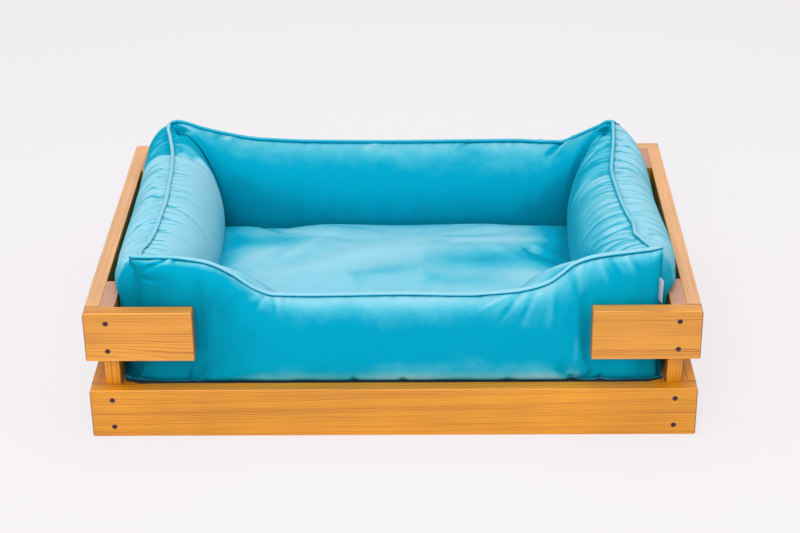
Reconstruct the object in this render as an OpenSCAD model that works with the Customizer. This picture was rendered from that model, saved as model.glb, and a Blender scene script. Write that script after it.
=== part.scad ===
// Dog sofa bed: a screwed frame of planed pine boards that carries a slatted base,
// and in it a fabric bed of four stuffed walls round a loose seat cushion.
// X runs along the front, Y from the front to the back, Z up from the floor.
// The origin lies on the floor under the middle of the frame.

/* [Frame] */
// Length of the frame along the front
frame_w = 900; // [760:10:1100]
// Depth of the frame from front to back
frame_d = 600; // [540:10:760]
// Height of every board
board_h = 80; // [70:1:96]
// Thickness of every board and post
board_t = 22; // [18:1:26]
// Open height between the lower and the upper boards
board_gap = 50; // [36:1:64]
// Length of the two short boards that flank the way in
short_board_l = 160; // [120:5:200]
// Depth of a corner post along the side boards
post_d = 80; // [60:1:96]
// Rounding along the long edges of a board
edge_r = 2; // [1:0.5:3]
// Rounding of a board's corners, seen from its face
corner_r = 4; // [2:0.5:6]

/* [Slatted base] */
// Number of slats
slat_count = 8; // [6:1:8]
// Width of a slat
slat_w = 70; // [50:1:80]
// Thickness of a slat
slat_t = 15; // [12:1:18]
// How far the slats lie below the top of the lower boards
slat_drop = 4; // [2:1:12]
// Height of the two cleats that carry the slats
cleat_h = 36; // [30:1:40]
// Thickness of a cleat
cleat_t = 22; // [18:1:26]

/* [Screws] */
// Shank diameter
screw_d = 4; // [3.5:0.1:4.5]
// Head diameter
head_d = 8; // [7:0.1:9]
// Height of the countersunk head
head_h = 2.6; // [2:0.1:3.2]
// Length of a screw driven through a front or back board into a post
long_screw_l = 50; // [44:1:60]
// Length of a screw driven through a side board or a cleat
short_screw_l = 38; // [34:1:39]
// Length of a screw that holds a slat
slat_screw_l = 32; // [28:1:40]
// Distance from a screw to the board's long edge
screw_edge = 17; // [13:1:22]

/* [Walls] */
// Height of the side walls and of the four corners above the base cloth
side_wall_h = 198; // [180:1:230]
// Height of the shoulders of the front wall, beside its corners
shoulder_h = 191; // [160:1:210]
// Height of the front wall in the way in
entry_h = 129; // [110:1:150]
// Height of the back wall at its middle
back_wall_h = 160; // [140:1:178]
// Thickness of the side walls at the belly
side_wall_t = 142; // [110:1:160]
// Thickness of the back wall at the belly
back_wall_t = 120; // [100:1:140]
// Thickness of the front wall at the belly
front_wall_t = 122; // [100:1:140]
// Half length of the low part of the front wall
entry_half_w = 165; // [120:5:190]
// Length over which the front wall climbs to its shoulders
entry_rise_w = 130; // [90:5:150]
// How far the walls draw in at the upright corner seams
corner_draw = 18; // [8:1:26]
// How far the front wall bellies out between the short boards
front_belly = 6; // [0:1:9]
// Diameter of the piping along the top seams
piping_d = 6.4; // [5:0.2:8]
// Thickness of the base cloth
cloth_t = 2; // [1.5:0.5:4]

/* [Seat cushion] */
// Height of the crown of the seat cushion
seat_h = 72; // [50:1:90]
// Height of its rim, where the top and bottom panels meet
seat_rim_h = 38; // [24:1:44]

/* [Zips and label] */
// Length of the zip in the seat cushion
seat_zip_l = 420; // [300:10:460]
// Length of the zip at the foot of the back wall
wall_zip_l = 440; // [300:10:460]
// Width of a zip tape
tape_w = 24; // [20:1:28]
// Height of the cloth label above its seam
label_h = 30; // [20:1:40]

/* [Hidden] */

pine = "#dd9744";
pine_end = "#cf9c86";
dark_steel = "#3b3440";
teal = "#21b3d3";
teal_piping = "#37c3dd";
zip_grey = "#5a6a70";
label_white = "#d9d6e0";

// Overrun of every cut past the face it opens
cut = 1;
// Facets of round edges, screws and holes
round_fn = 32;

// Frame values that follow from the sizes above
half_w = frame_w / 2;
half_d = frame_d / 2;
inner_w = half_w - board_t;
inner_d = half_d - board_t;
upper_z = board_h + board_gap;
frame_h = upper_z + board_h;
post_face = inner_w - board_t;
post_start = inner_d - post_d;
lower_rows = [screw_edge, board_h - screw_edge];
upper_rows = [upper_z + screw_edge, frame_h - screw_edge];

// Slatted base
slat_top = board_h - slat_drop;
slat_z = slat_top - slat_t;
cleat_z = slat_z - cleat_h;
slat_end_gap = 2;
slat_side_gap = 2;
slat_l = 2 * (inner_d - slat_end_gap);
slat_pitch = (2 * (post_face - slat_side_gap) - slat_w) / (slat_count - 1);
slat_edge_r = 1.5;
cleat_end_gap = 2;
cleat_l = 2 * (post_face - cleat_end_gap);

// Screws sit this far below the wood, and their holes are this much wider
head_sink = 0.4;
screw_fit = 0.1;
tip_l = 5;
head_rim = 0.5;
drive_w = 0.9;
drive_l = 4.6;
drive_depth = 1.5;

// Clearances of the fabric bed
soft_gap = 0.3;
seam_gap = 0.25;
rail_gap = 3.5;
back_gap = 10;
post_gap = 3;

// Fabric bed levels
cloth_z = slat_top + soft_gap;
wall_z = cloth_z + cloth_t;

// Stations along a wall, steps up each panel of its section, and sides of the piping
long_stations = 38;
short_stations = 24;
panel_steps = 10;
piping_sides = 6;

// Each wall is drawn along five lines that run from corner to corner:
// the foot of the outer panel, its belly, the top seam, the inner belly and the inner foot.
// A line is given by its distance from the middle of the bed, half way along the wall.
outer_foot_draw = 4;
inner_foot_draw = 17;
inner_corner_draw = 14;
side_seam_share = 0.52;
front_seam_share = 0.2;
back_seam_share = 0.28;
side_belly = inner_w - rail_gap;
front_edge = inner_d - rail_gap;
back_edge = inner_d - back_gap;

side_lines = [
    side_belly - outer_foot_draw,
    side_belly,
    side_belly - side_seam_share * side_wall_t,
    side_belly - side_wall_t,
    side_belly - side_wall_t + inner_foot_draw
];
front_lines = [
    front_edge - outer_foot_draw,
    front_edge + front_belly,
    front_edge - front_seam_share * front_wall_t,
    front_edge - front_wall_t,
    front_edge - front_wall_t + inner_foot_draw
];
back_lines = [
    back_edge,
    back_edge,
    back_edge - back_seam_share * back_wall_t,
    back_edge - back_wall_t,
    back_edge - back_wall_t + inner_foot_draw
];

// Beside a corner the outer panels pass the posts and the short boards at these distances
corner_out = post_face - post_gap;
side_near = [corner_out - outer_foot_draw, corner_out];
front_near = [front_edge - outer_foot_draw, front_edge];
back_near = [back_edge, back_edge];

// In the corners the lines of two walls meet
corner_seam_draw = 25;
front_seam_draw = 25;
back_seam_draw = 42;
corner_x = [
    side_near[0] - corner_draw,
    side_near[1] - corner_draw,
    corner_out - corner_seam_draw,
    side_lines[3] + inner_corner_draw,
    side_lines[4] + inner_corner_draw
];
front_corner_y = [
    front_near[0] - corner_draw,
    front_near[1] - corner_draw,
    front_edge - front_seam_draw,
    front_lines[3] + inner_corner_draw,
    front_lines[4] + inner_corner_draw
];
back_corner_y = [
    back_near[0] - corner_draw,
    back_near[1] - corner_draw,
    back_edge - back_seam_draw,
    back_lines[3] + inner_corner_draw,
    back_lines[4] + inner_corner_draw
];
bed_half_d = [for (i = [0:4]) (back_corner_y[i] + front_corner_y[i]) / 2];
bed_mid_y = [for (i = [0:4]) (back_corner_y[i] - front_corner_y[i]) / 2];

// Shares of the half wall: where a line leaves its straight run, where the outer panel has
// to be clear of a post or a short board, and where it starts to round into the corner
turn_shares = [0.5, 0.5, 0.1, 0.3, 0.3];
front_end_turn_shares = [0.5, 0.5, 0.6, 0.3, 0.3];
post_share = (post_start - post_gap - abs(bed_mid_y[1])) / bed_half_d[1];
short_board_share = (half_w - short_board_l) / corner_x[1];
round_share = 0.88;

function mix(a, b, share) = a + (b - a) * share;
function ease(low, high, v) =
    let (u = min(1, max(0, (v - low) / (high - low)))) u * u * (3 - 2 * u);

// How far the outer panel has rounded in at station s, from 0 to 1 at the corner seam
function rounding(s) =
    let (u = max(0, abs(s) - round_share) / (1 - round_share)) 1 - sqrt(1 - min(1, u * u));

// Distance of line i from the middle of the bed, at station s = -1 to 1 along a wall
function reach(i, s, lines, near, corner, start, clear_share) =
    i < 2
        ? mix(lines[i], near[i], ease(start, clear_share, abs(s))) - corner_draw * rounding(s)
        : mix(lines[i], corner[i], ease(start, 1, abs(s)));

// A point of line i as [reach, place along the wall]
function front_point(i, s) = [
    reach(i, s, front_lines, front_near, front_corner_y, turn_shares[i], short_board_share),
    s * corner_x[i]
];
function back_point(i, s) = [
    reach(i, s, back_lines, back_near, back_corner_y, turn_shares[i], short_board_share),
    s * corner_x[i]
];
function side_point(i, s) = [
    reach(i, s, side_lines, side_near, corner_x,
        s < 0 ? front_end_turn_shares[i] : turn_shares[i], post_share),
    bed_mid_y[i] + s * bed_half_d[i]
];

// Height of the top seam above the foot, at station s
corner_rise_power = 6;
back_rise_power = 4;
function front_top(s) =
    mix(entry_h, shoulder_h, ease(entry_half_w, entry_half_w + entry_rise_w, abs(s) * corner_x[2]))
    + (side_wall_h - shoulder_h) * pow(abs(s), corner_rise_power);
function back_top(s) = mix(back_wall_h, side_wall_h, pow(abs(s), back_rise_power));

// A panel is two quarters of an oval: from its foot out to the belly, and from there in to the
// top seam. Fullness 2 is an ellipse, and more is squarer. v runs from 0 to 1 up the panel.
outer_belly_share = 0.52;
inner_belly_share = 0.46;
outer_fullness = 2.5;
inner_fullness = 2.1;
function panel_point(foot, belly, seam, belly_share, fullness, top, v) =
    let (
        low = v < 0.5,
        turned = low ? 180 * v : 180 * v - 90,
        out_share = pow(low ? sin(turned) : cos(turned), 2 / fullness),
        up_share = pow(low ? cos(turned) : sin(turned), 2 / fullness),
        start = low ? foot : seam,
        z = low ? belly_share * top * (1 - up_share) : mix(belly_share, 1, up_share) * top
    )
    [mix(start[0], belly[0], out_share), mix(start[1], belly[1], out_share), wall_z + z];

// A wall's section at one station: up the outer panel, then down the inner one
function section(lines, top) = concat(
    [for (k = [0:panel_steps])
        panel_point(lines[0], lines[1], lines[2], outer_belly_share, outer_fullness, top,
            k / panel_steps)],
    [for (k = [1:panel_steps])
        panel_point(lines[4], lines[3], lines[2], inner_belly_share, inner_fullness, top,
            1 - k / panel_steps)]
);

// The four walls share these functions. Stations run so that the bed lies on the left.
function line_point(side, i, s) =
    side == "front" ? front_point(i, s) :
    side == "back" ? back_point(i, s) :
    side_point(i, side == "left" ? -s : s);
function wall_top(side, s) =
    side == "front" ? front_top(s) : side == "back" ? back_top(s) : side_wall_h;
function place(side, p) =
    side == "front" ? [p[1], -p[0], p[2]] :
    side == "back" ? [-p[1], p[0], p[2]] :
    side == "left" ? [-p[0], p[1], p[2]] :
    p;

// Stations crowd towards the corners, and end a seam gap before them
function is_long(side) = side == "front" || side == "back";
function half_length(side) = is_long(side) ? corner_x[2] : bed_half_d[2];
function stations(side) = is_long(side) ? long_stations : short_stations;
function station(side, k) =
    let (u = 2 * k / (stations(side) - 1) - 1)
    u * (3 - u * u) / 2 * (1 - seam_gap / half_length(side));

function wall_section(side, s) =
    let (lines = [for (i = [0:4]) line_point(side, i, s)])
    [for (p = section(lines, wall_top(side, s))) place(side, p)];

// A closed skin over a row of rings with equally many points, capped at both ends
module skin(rings) {
    ring = len(rings[0]);
    end = (len(rings) - 1) * ring;
    sides = [
        for (i = [0:len(rings) - 2], j = [0:ring - 1])
            let (a = i * ring + j, b = i * ring + (j + 1) % ring)
            each [[a, b, a + ring], [b, b + ring, a + ring]]
    ];
    start_cap = [for (j = [1:ring - 2]) [0, j + 1, j]];
    end_cap = [for (j = [1:ring - 2]) [end, end + j, end + j + 1]];
    polyhedron([for (r = rings) each r], concat(sides, start_cap, end_cap), convexity = 6);
}

module wall(side) {
    color(teal) skin([for (k = [0:stations(side) - 1]) wall_section(side, station(side, k))]);
}

// The piping's ring over the top seam, which widens to the mitre in the corners
piping_r = piping_d / 2;
function piping_ring(side, s) =
    let (
        seam = line_point(side, 2, s),
        run = line_point(side, 0, s) - line_point(side, 4, s),
        along_ring = piping_r * run / run[0],
        z = wall_z + wall_top(side, s) + soft_gap + piping_r
    )
    [for (j = [0:piping_sides - 1])
        let (a = 360 * j / piping_sides, q = seam - sin(a) * along_ring)
        place(side, [q[0], q[1], z + piping_r * cos(a)])];

module piping(side) {
    color(teal_piping)
        skin([for (k = [0:stations(side) - 1]) piping_ring(side, station(side, k))]);
}

// The cloth under the walls follows the feet of their outer panels
module base_cloth() {
    outline = [
        for (side = ["front", "right", "back", "left"], k = [0:stations(side) - 2])
            let (p = place(side, concat(line_point(side, 0, station(side, k)), [0])))
            [p[0], p[1]]
    ];
    color(teal) translate([0, 0, cloth_z]) linear_extrude(cloth_t) polygon(outline);
}

// The outline of a board's section, with rounded long edges
module rounded(a, b, r) {
    translate([r, 0]) square([a - 2 * r, b]);
    translate([0, r]) square([a, b - 2 * r]);
    for (x = [r, a - r], y = [r, b - r]) translate([x, y]) circle(r, $fn = round_fn);
}

// A board l long, t thick and h high, from the origin along X, Y and Z
module board(l, t, h, long_r, face_r) {
    intersection() {
        rotate([90, 0, 90]) linear_extrude(l) rounded(t, h, long_r);
        translate([0, t, 0]) rotate([90, 0, 0]) linear_extrude(t) rounded(l, h, face_r);
    }
}

// A countersunk screw, head up at the origin and tip down
module screw(l) {
    head_r = head_d / 2;
    shank_r = screw_d / 2;
    translate([0, 0, -head_sink]) difference() {
        rotate_extrude($fn = round_fn) polygon([
            [0, 0], [head_r, 0], [head_r, -head_rim], [shank_r, -head_h],
            [shank_r, tip_l - l], [0, -l]
        ]);
        for (turn_deg = [0, 90]) rotate(turn_deg)
            translate([-drive_l / 2, -drive_w / 2, -drive_depth])
                cube([drive_l, drive_w, drive_depth + cut]);
    }
}

// The hole that a screw fills, with its countersink
module screw_hole(l) {
    head_r = head_d / 2 + screw_fit;
    shank_r = screw_d / 2 + screw_fit;
    rotate_extrude($fn = round_fn) polygon([
        [0, cut], [head_r, cut], [head_r, -head_sink - head_rim],
        [shank_r, -head_sink - head_h - screw_fit],
        [shank_r, -head_sink - l - screw_fit], [0, -head_sink - l - screw_fit]
    ]);
}

// Puts its children where screws enter the front boards, looking into the wood
module at_front(rows, ends = [-1, 1]) {
    for (x = ends, z = rows)
        translate([x * (inner_w - board_t / 2), -half_d, z]) rotate([90, 0, 0]) children();
}

module at_back(rows, ends = [-1, 1]) {
    mirror([0, 1, 0]) at_front(rows, ends) children();
}

module at_right(rows, ends = [-1, 1]) {
    for (y = ends, z = rows)
        translate([half_w, y * (inner_d - post_d / 2), z]) rotate([0, 90, 0]) children();
}

module at_left(rows, ends = [-1, 1]) {
    mirror([1, 0, 0]) at_right(rows, ends) children();
}

// Cleat screws stand between the slats, and go from the inside into the lower boards
module at_front_cleat() {
    for (k = [-3:2:3])
        translate([k * slat_pitch, cleat_t - inner_d, cleat_z + cleat_h / 2])
            rotate([-90, 0, 0]) children();
}

module at_back_cleat() {
    mirror([0, 1, 0]) at_front_cleat() children();
}

function slat_x(k) = (k - (slat_count - 1) / 2) * slat_pitch;

module at_slat(k) {
    for (side = [-1, 1])
        translate([slat_x(k), side * (inner_d - cleat_t / 2), slat_top]) children();
}

module lower_front_board() {
    color(pine) difference() {
        translate([-half_w, -half_d, 0]) board(frame_w, board_t, board_h, edge_r, corner_r);
        at_front(lower_rows) screw_hole(long_screw_l);
        at_front_cleat() screw_hole(short_screw_l);
    }
}

module lower_back_board() {
    color(pine) difference() {
        translate([-half_w, inner_d, 0]) board(frame_w, board_t, board_h, edge_r, corner_r);
        at_back(lower_rows) screw_hole(long_screw_l);
        at_back_cleat() screw_hole(short_screw_l);
    }
}

module upper_back_board() {
    color(pine) difference() {
        translate([-half_w, inner_d, upper_z])
            board(frame_w, board_t, board_h, edge_r, corner_r);
        at_back(upper_rows) screw_hole(long_screw_l);
    }
}

module upper_front_right_board() {
    color(pine) difference() {
        translate([half_w - short_board_l, -half_d, upper_z])
            board(short_board_l, board_t, board_h, edge_r, corner_r);
        at_front(upper_rows, [1]) screw_hole(long_screw_l);
    }
}

module upper_front_left_board() {
    mirror([1, 0, 0]) upper_front_right_board();
}

// Side boards butt against the inner faces of the front and back boards
module right_board(z, rows) {
    color(pine) difference() {
        translate([half_w, -inner_d, z]) rotate(90)
            board(2 * inner_d, board_t, board_h, edge_r, edge_r);
        at_right(rows) screw_hole(short_screw_l);
    }
}

module lower_right_board() {
    right_board(0, lower_rows);
}

module upper_right_board() {
    right_board(upper_z, upper_rows);
}

module lower_left_board() {
    mirror([1, 0, 0]) lower_right_board();
}

module upper_left_board() {
    mirror([1, 0, 0]) upper_right_board();
}

// A post is a length of the same board on end, flat against the side boards
module post_front_right() {
    rows = concat(lower_rows, upper_rows);
    color(pine_end) difference() {
        translate([inner_w, -inner_d, 0]) rotate([0, -90, 0])
            translate([0, post_d, 0]) rotate([90, 0, 0])
                board(frame_h, board_t, post_d, edge_r, edge_r);
        at_front(rows, [1]) screw_hole(long_screw_l);
        at_right(rows, [-1]) screw_hole(short_screw_l);
    }
}

module post_front_left() {
    mirror([1, 0, 0]) post_front_right();
}

module post_back_right() {
    mirror([0, 1, 0]) post_front_right();
}

module post_back_left() {
    mirror([1, 0, 0]) post_back_right();
}

module front_cleat() {
    color(pine) difference() {
        translate([-cleat_l / 2, -inner_d, cleat_z])
            board(cleat_l, cleat_t, cleat_h, edge_r, edge_r);
        at_front_cleat() screw_hole(short_screw_l);
        for (k = [0:slat_count - 1]) at_slat(k) screw_hole(slat_screw_l);
    }
}

module back_cleat() {
    mirror([0, 1, 0]) front_cleat();
}

module slat(k) {
    color(pine) difference() {
        translate([slat_x(k) + slat_w / 2, -slat_l / 2, slat_z]) rotate(90)
            board(slat_l, slat_w, slat_t, slat_edge_r, slat_edge_r);
        at_slat(k) screw_hole(slat_screw_l);
    }
}

module front_screws() {
    color(dark_steel) at_front(concat(lower_rows, upper_rows)) screw(long_screw_l);
}

module back_screws() {
    color(dark_steel) at_back(concat(lower_rows, upper_rows)) screw(long_screw_l);
}

module right_screws() {
    color(dark_steel) at_right(concat(lower_rows, upper_rows)) screw(short_screw_l);
}

module left_screws() {
    color(dark_steel) at_left(concat(lower_rows, upper_rows)) screw(short_screw_l);
}

module cleat_screws() {
    color(dark_steel) {
        at_front_cleat() screw(short_screw_l);
        at_back_cleat() screw(short_screw_l);
    }
}

module slat_screws() {
    color(dark_steel) for (k = [0:slat_count - 1]) at_slat(k) screw(slat_screw_l);
}

// The seat cushion is a pillow that is flat where it lies on the cloth. Its outline follows
// the walls' inner bellies at a small gap, so its sides draw in and it lifts straight out.
seat_gap = 3;
seat_front = front_lines[3] - seat_gap;
seat_back = back_lines[3] - seat_gap;
seat_half_w = side_lines[3] - seat_gap;
seat_half_d = (seat_front + seat_back) / 2;
seat_mid_y = (seat_back - seat_front) / 2;
seat_z = wall_z + soft_gap;
seat_sides = 48;
seat_rings = 8;
seat_square = 6;
crown_round = 2.8;
seat_flat_share = 0.94;
crown_share = 0.02;

function signed_pow(v, power) = sign(v) * pow(abs(v), power);

// A squared-off oval that widens towards its corners as the walls do, but runs straight
// along the back, where the zip is
function seat_outline(a) =
    let (
        p = signed_pow(cos(a), 2 / seat_square),
        q = signed_pow(sin(a), 2 / seat_square)
    )
    [p * (seat_half_w + inner_corner_draw * ease(turn_shares[3], 1, abs(q))),
     q * (seat_half_d + (q < 0 ? inner_corner_draw : 0) * ease(turn_shares[3], 1, abs(p)))];
function seat_ring(share, z) = [
    for (j = [0:seat_sides - 1])
        let (p = share * seat_outline(-360 * j / seat_sides)) [p[0], seat_mid_y + p[1], seat_z + z]
];

// Rings rise in a quarter circle from the flat to the rim, then over the crown
module seat_pillow() {
    last = acos(pow(crown_share, crown_round / 2));
    skin(concat(
        [for (a = [0, 45])
            seat_ring(mix(seat_flat_share, 1, sin(a)), seat_rim_h * (1 - cos(a)))],
        [for (k = [0:seat_rings])
            let (a = last * k / seat_rings)
            seat_ring(pow(cos(a), 2 / crown_round),
                mix(seat_rim_h, seat_h, pow(sin(a), 2 / crown_round)))]
    ));
}

// A zip lies on the XY plane: its tape, and the coil along the middle with a stop at each end
tape_t = 0.8;
coil_r = 1.5;
coil_fn = 24;
stop_l = 3;
stop_w = 6;
slider_l = 11;
slider_w = 9;
slider_t = 1;
slider_fit = 0.25;
zip_gap = 0.2;
bridge_w = 2;
bridge_h = 1.6;
tab_l = 20;
tab_w = 6;
tab_t = 1;
tab_hole_r = 1.6;

module zip(l) {
    color(zip_grey) {
        translate([-l / 2, -tape_w / 2, 0]) cube([l, tape_w, tape_t]);
        translate([-l / 2, 0, coil_r]) rotate([0, 90, 0])
            cylinder(r = coil_r, h = l, $fn = coil_fn);
        for (x = [-l / 2, l / 2 - stop_l]) translate([x, -stop_w / 2, 0])
            cube([stop_l, stop_w, 2 * coil_r]);
    }
}

// The slider straddles the coil, with a bridge that holds the pull tab
module zip_slider() {
    low = tape_t + slider_fit;
    tunnel_r = coil_r + slider_fit;
    body_h = coil_r + tunnel_r + slider_t - low;
    color(dark_steel) {
        difference() {
            translate([-slider_l, -slider_w / 2, low]) cube([slider_l, slider_w, body_h]);
            translate([-slider_l - cut, 0, coil_r]) rotate([0, 90, 0])
                cylinder(r = tunnel_r, h = slider_l + 2 * cut, $fn = coil_fn);
        }
        translate([-slider_l, -bridge_w / 2, low + body_h])
            cube([slider_l / 2, bridge_w, bridge_h]);
        translate([-slider_l / 2 - tab_l, -tab_w / 2, low + body_h + bridge_h]) difference() {
            cube([tab_l, tab_w, tab_t]);
            translate([tab_w / 2, tab_w / 2, -cut])
                cylinder(r = tab_hole_r, h = tab_t + 2 * cut, $fn = coil_fn);
        }
    }
}

// The seat cushion's zip runs in a flat band along its back edge
seat_band_draw = 9;
seat_band_y = seat_back - seat_band_draw;
seat_zip_z = seat_z + seat_rim_h;

module at_seat_zip() {
    translate([0, seat_band_y + zip_gap, seat_zip_z]) rotate([-90, 0, 0]) children();
}

module seat_cushion() {
    color(teal) difference() {
        seat_pillow();
        translate([-half_w, seat_band_y, seat_z - cut])
            cube([frame_w, seat_band_draw + cut, seat_h + 2 * cut]);
    }
}

module seat_zip() {
    at_seat_zip() zip(seat_zip_l);
}

module seat_zip_slider() {
    at_seat_zip() translate([seat_zip_l / 2 - stop_l - slider_fit, 0, 0]) zip_slider();
}

// The zip for the stuffing runs along the foot of the back wall's upright outer panel
wall_zip_foot = 14;
wall_zip_z = wall_z + wall_zip_foot + tape_w / 2;

module at_wall_zip() {
    translate([0, back_edge + zip_gap, wall_zip_z]) rotate([-90, 0, 0]) children();
}

module wall_zip() {
    at_wall_zip() zip(wall_zip_l);
}

module wall_zip_slider() {
    at_wall_zip() translate([wall_zip_l / 2 - stop_l - slider_fit, 0, 0]) zip_slider();
}

// A folded cloth label stands out of the right front corner seam, above the short board
label_t = 1;
label_out = 14;
label_gap = 2;

module side_label() {
    color(label_white)
        translate([corner_x[1], -front_corner_y[1] - soft_gap - label_out, frame_h + label_gap])
            cube([label_t, label_out, label_h]);
}

lower_front_board();
lower_back_board();
lower_left_board();
lower_right_board();
upper_front_left_board();
upper_front_right_board();
upper_back_board();
upper_left_board();
upper_right_board();
post_front_left();
post_front_right();
post_back_left();
post_back_right();
front_cleat();
back_cleat();
for (k = [0:slat_count - 1])
    slat(k);
front_screws();
back_screws();
left_screws();
right_screws();
cleat_screws();
slat_screws();
base_cloth();
wall("front");  // wall_front
wall("back");  // wall_back
wall("left");  // wall_left
wall("right");  // wall_right
piping("front");  // piping_front
piping("back");  // piping_back
piping("left");  // piping_left
piping("right");  // piping_right
side_label();
wall_zip();
wall_zip_slider();
seat_cushion();
seat_zip();
seat_zip_slider();
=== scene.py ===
"""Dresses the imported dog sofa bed: stained pine, stuffed velour walls, a seat cushion and piping.

Lengths are in metres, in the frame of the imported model: X along the front, Y to the back, Z up.
The tables of knots, folds, gathers and gaps are in millimetres.
"""

import math

import bpy
import numpy as np
from mathutils import Matrix, Vector


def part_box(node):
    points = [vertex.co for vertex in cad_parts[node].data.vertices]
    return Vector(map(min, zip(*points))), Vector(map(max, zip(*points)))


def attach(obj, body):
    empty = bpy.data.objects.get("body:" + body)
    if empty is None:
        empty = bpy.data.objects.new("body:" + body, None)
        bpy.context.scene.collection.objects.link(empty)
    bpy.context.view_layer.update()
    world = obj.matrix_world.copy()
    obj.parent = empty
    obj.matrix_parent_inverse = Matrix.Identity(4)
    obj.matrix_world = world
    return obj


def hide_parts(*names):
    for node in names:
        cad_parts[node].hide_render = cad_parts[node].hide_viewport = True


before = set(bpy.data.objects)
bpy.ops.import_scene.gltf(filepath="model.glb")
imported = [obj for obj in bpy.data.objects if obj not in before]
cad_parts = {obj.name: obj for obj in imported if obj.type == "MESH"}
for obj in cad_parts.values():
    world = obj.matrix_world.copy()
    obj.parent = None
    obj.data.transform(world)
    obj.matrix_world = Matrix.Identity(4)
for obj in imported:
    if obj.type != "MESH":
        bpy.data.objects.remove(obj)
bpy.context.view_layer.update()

bl_info = {
    "name": "Dog sofa bed",
    "version": (1, 0, 0),
    "blender": (4, 5, 0),
    "location": "3D View > Sidebar > Sofa bed",
    "description": "Builds the looks of a dog sofa bed round its packed frame",
    "category": "Object",
}

MM = 0.001

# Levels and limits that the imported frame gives
CLOTH_LOW, CLOTH_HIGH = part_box("base_cloth")
SEAT_LOW, SEAT_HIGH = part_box("seat_cushion")
BOARD_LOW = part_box("upper_right_board")[0]
POST_LOW, POST_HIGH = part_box("post_back_right")
FRONT_BOARD_LOW, FRONT_BOARD_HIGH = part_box("upper_front_right_board")
WALL_FOOT = CLOTH_HIGH.z


# Sizes and colours that a user would change

class SofaBedSizes(bpy.types.PropertyGroup):
    """Sizes of the soft pieces and of the finishes."""

    piping: bpy.props.FloatProperty(
        name="Piping", description="Diameter of the piping along the top seams",
        default=0.0067, min=0.003, max=0.012, unit="LENGTH")
    side_gathers: bpy.props.FloatProperty(
        name="Side gathers", description="Spare cloth along the side walls, as a share",
        default=0.13, min=0.0, max=0.3, subtype="FACTOR")
    long_gathers: bpy.props.FloatProperty(
        name="Front and back gathers", description="Spare cloth along the front and back walls",
        default=0.03, min=0.0, max=0.3, subtype="FACTOR")
    seat_slack: bpy.props.FloatProperty(
        name="Seat slack", description="Spare cloth of the seat cushion, as a share",
        default=0.03, min=0.0, max=0.2, subtype="FACTOR")
    seam_groove: bpy.props.FloatProperty(
        name="Seam groove", description="Depth of the upright corner seams",
        default=0.0012, min=0.0, max=0.015, unit="LENGTH")
    ring_width: bpy.props.FloatProperty(
        name="Growth rings", description="Distance between growth rings in the pine",
        default=0.0025, min=0.002, max=0.01, unit="LENGTH")


class SofaBedColours(bpy.types.PropertyGroup):
    """Colours of the finishes, as linear values."""

    velour: bpy.props.FloatVectorProperty(
        name="Velour", description="Velour seen straight on, with its pile lying down",
        default=(0.0, 0.338, 0.510), size=3, subtype="COLOR", min=0.0, max=1.0)
    # Pale velour: painted sheen where the surface faces up, and the pale of brushed pile
    velour_pale_sheen: bpy.props.FloatVectorProperty(
        name="Pale velour", description="Velour where its pile stands up to the light",
        default=(0.285, 0.600, 0.715), size=3, subtype="COLOR", min=0.0, max=1.0)
    pine_early: bpy.props.FloatVectorProperty(
        name="Pine", description="Stained pine between its growth rings",
        default=(0.84, 0.335, 0.006), size=3, subtype="COLOR", min=0.0, max=1.0)
    pine_late: bpy.props.FloatVectorProperty(
        name="Pine rings", description="Stained pine along its growth rings",
        default=(0.39, 0.104, 0.003), size=3, subtype="COLOR", min=0.0, max=1.0)
    pine_end: bpy.props.FloatVectorProperty(
        name="End grain", description="Stained pine across the grain",
        default=(0.60, 0.31, 0.22), size=3, subtype="COLOR", min=0.0, max=1.0)
    # Pale pine: painted sky sheen on the rails' tops, and a slightly paler tone on the short front
    # boards
    pine_pale_and_sky_sheen: bpy.props.FloatVectorProperty(
        name="Bleached pine", description="Stained pine on the tops of the rails",
        default=(0.90, 0.46, 0.21), size=3, subtype="COLOR", min=0.0, max=1.0)
    screw: bpy.props.FloatVectorProperty(
        name="Screws", description="Bronzed steel of the screws and sliders",
        default=(0.10, 0.06, 0.08), size=3, subtype="COLOR", min=0.0, max=1.0)
    # Near black: a dark base cloth, made this dark as painted shade where it shows at the walls'
    # feet
    base_cloth: bpy.props.FloatVectorProperty(
        name="Base cloth", description="Plain cloth under the walls",
        default=(0.005, 0.022, 0.032), size=3, subtype="COLOR", min=0.0, max=1.0)
    zip_tape: bpy.props.FloatVectorProperty(
        name="Zip tape", description="Woven tape of the zips",
        default=(0.02, 0.20, 0.30), size=3, subtype="COLOR", min=0.0, max=1.0)
    label: bpy.props.FloatVectorProperty(
        name="Label", description="Blank satin label",
        default=(0.66, 0.62, 0.74), size=3, subtype="COLOR", min=0.0, max=1.0)
    floor: bpy.props.FloatVectorProperty(
        name="Floor", description="Floor and backdrop",
        default=(0.90, 0.875, 0.90), size=3, subtype="COLOR", min=0.0, max=1.0)


def sizes():
    return bpy.context.scene.sofa_bed_sizes


def colours():
    return bpy.context.scene.sofa_bed_colours


# Shader wires

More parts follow.
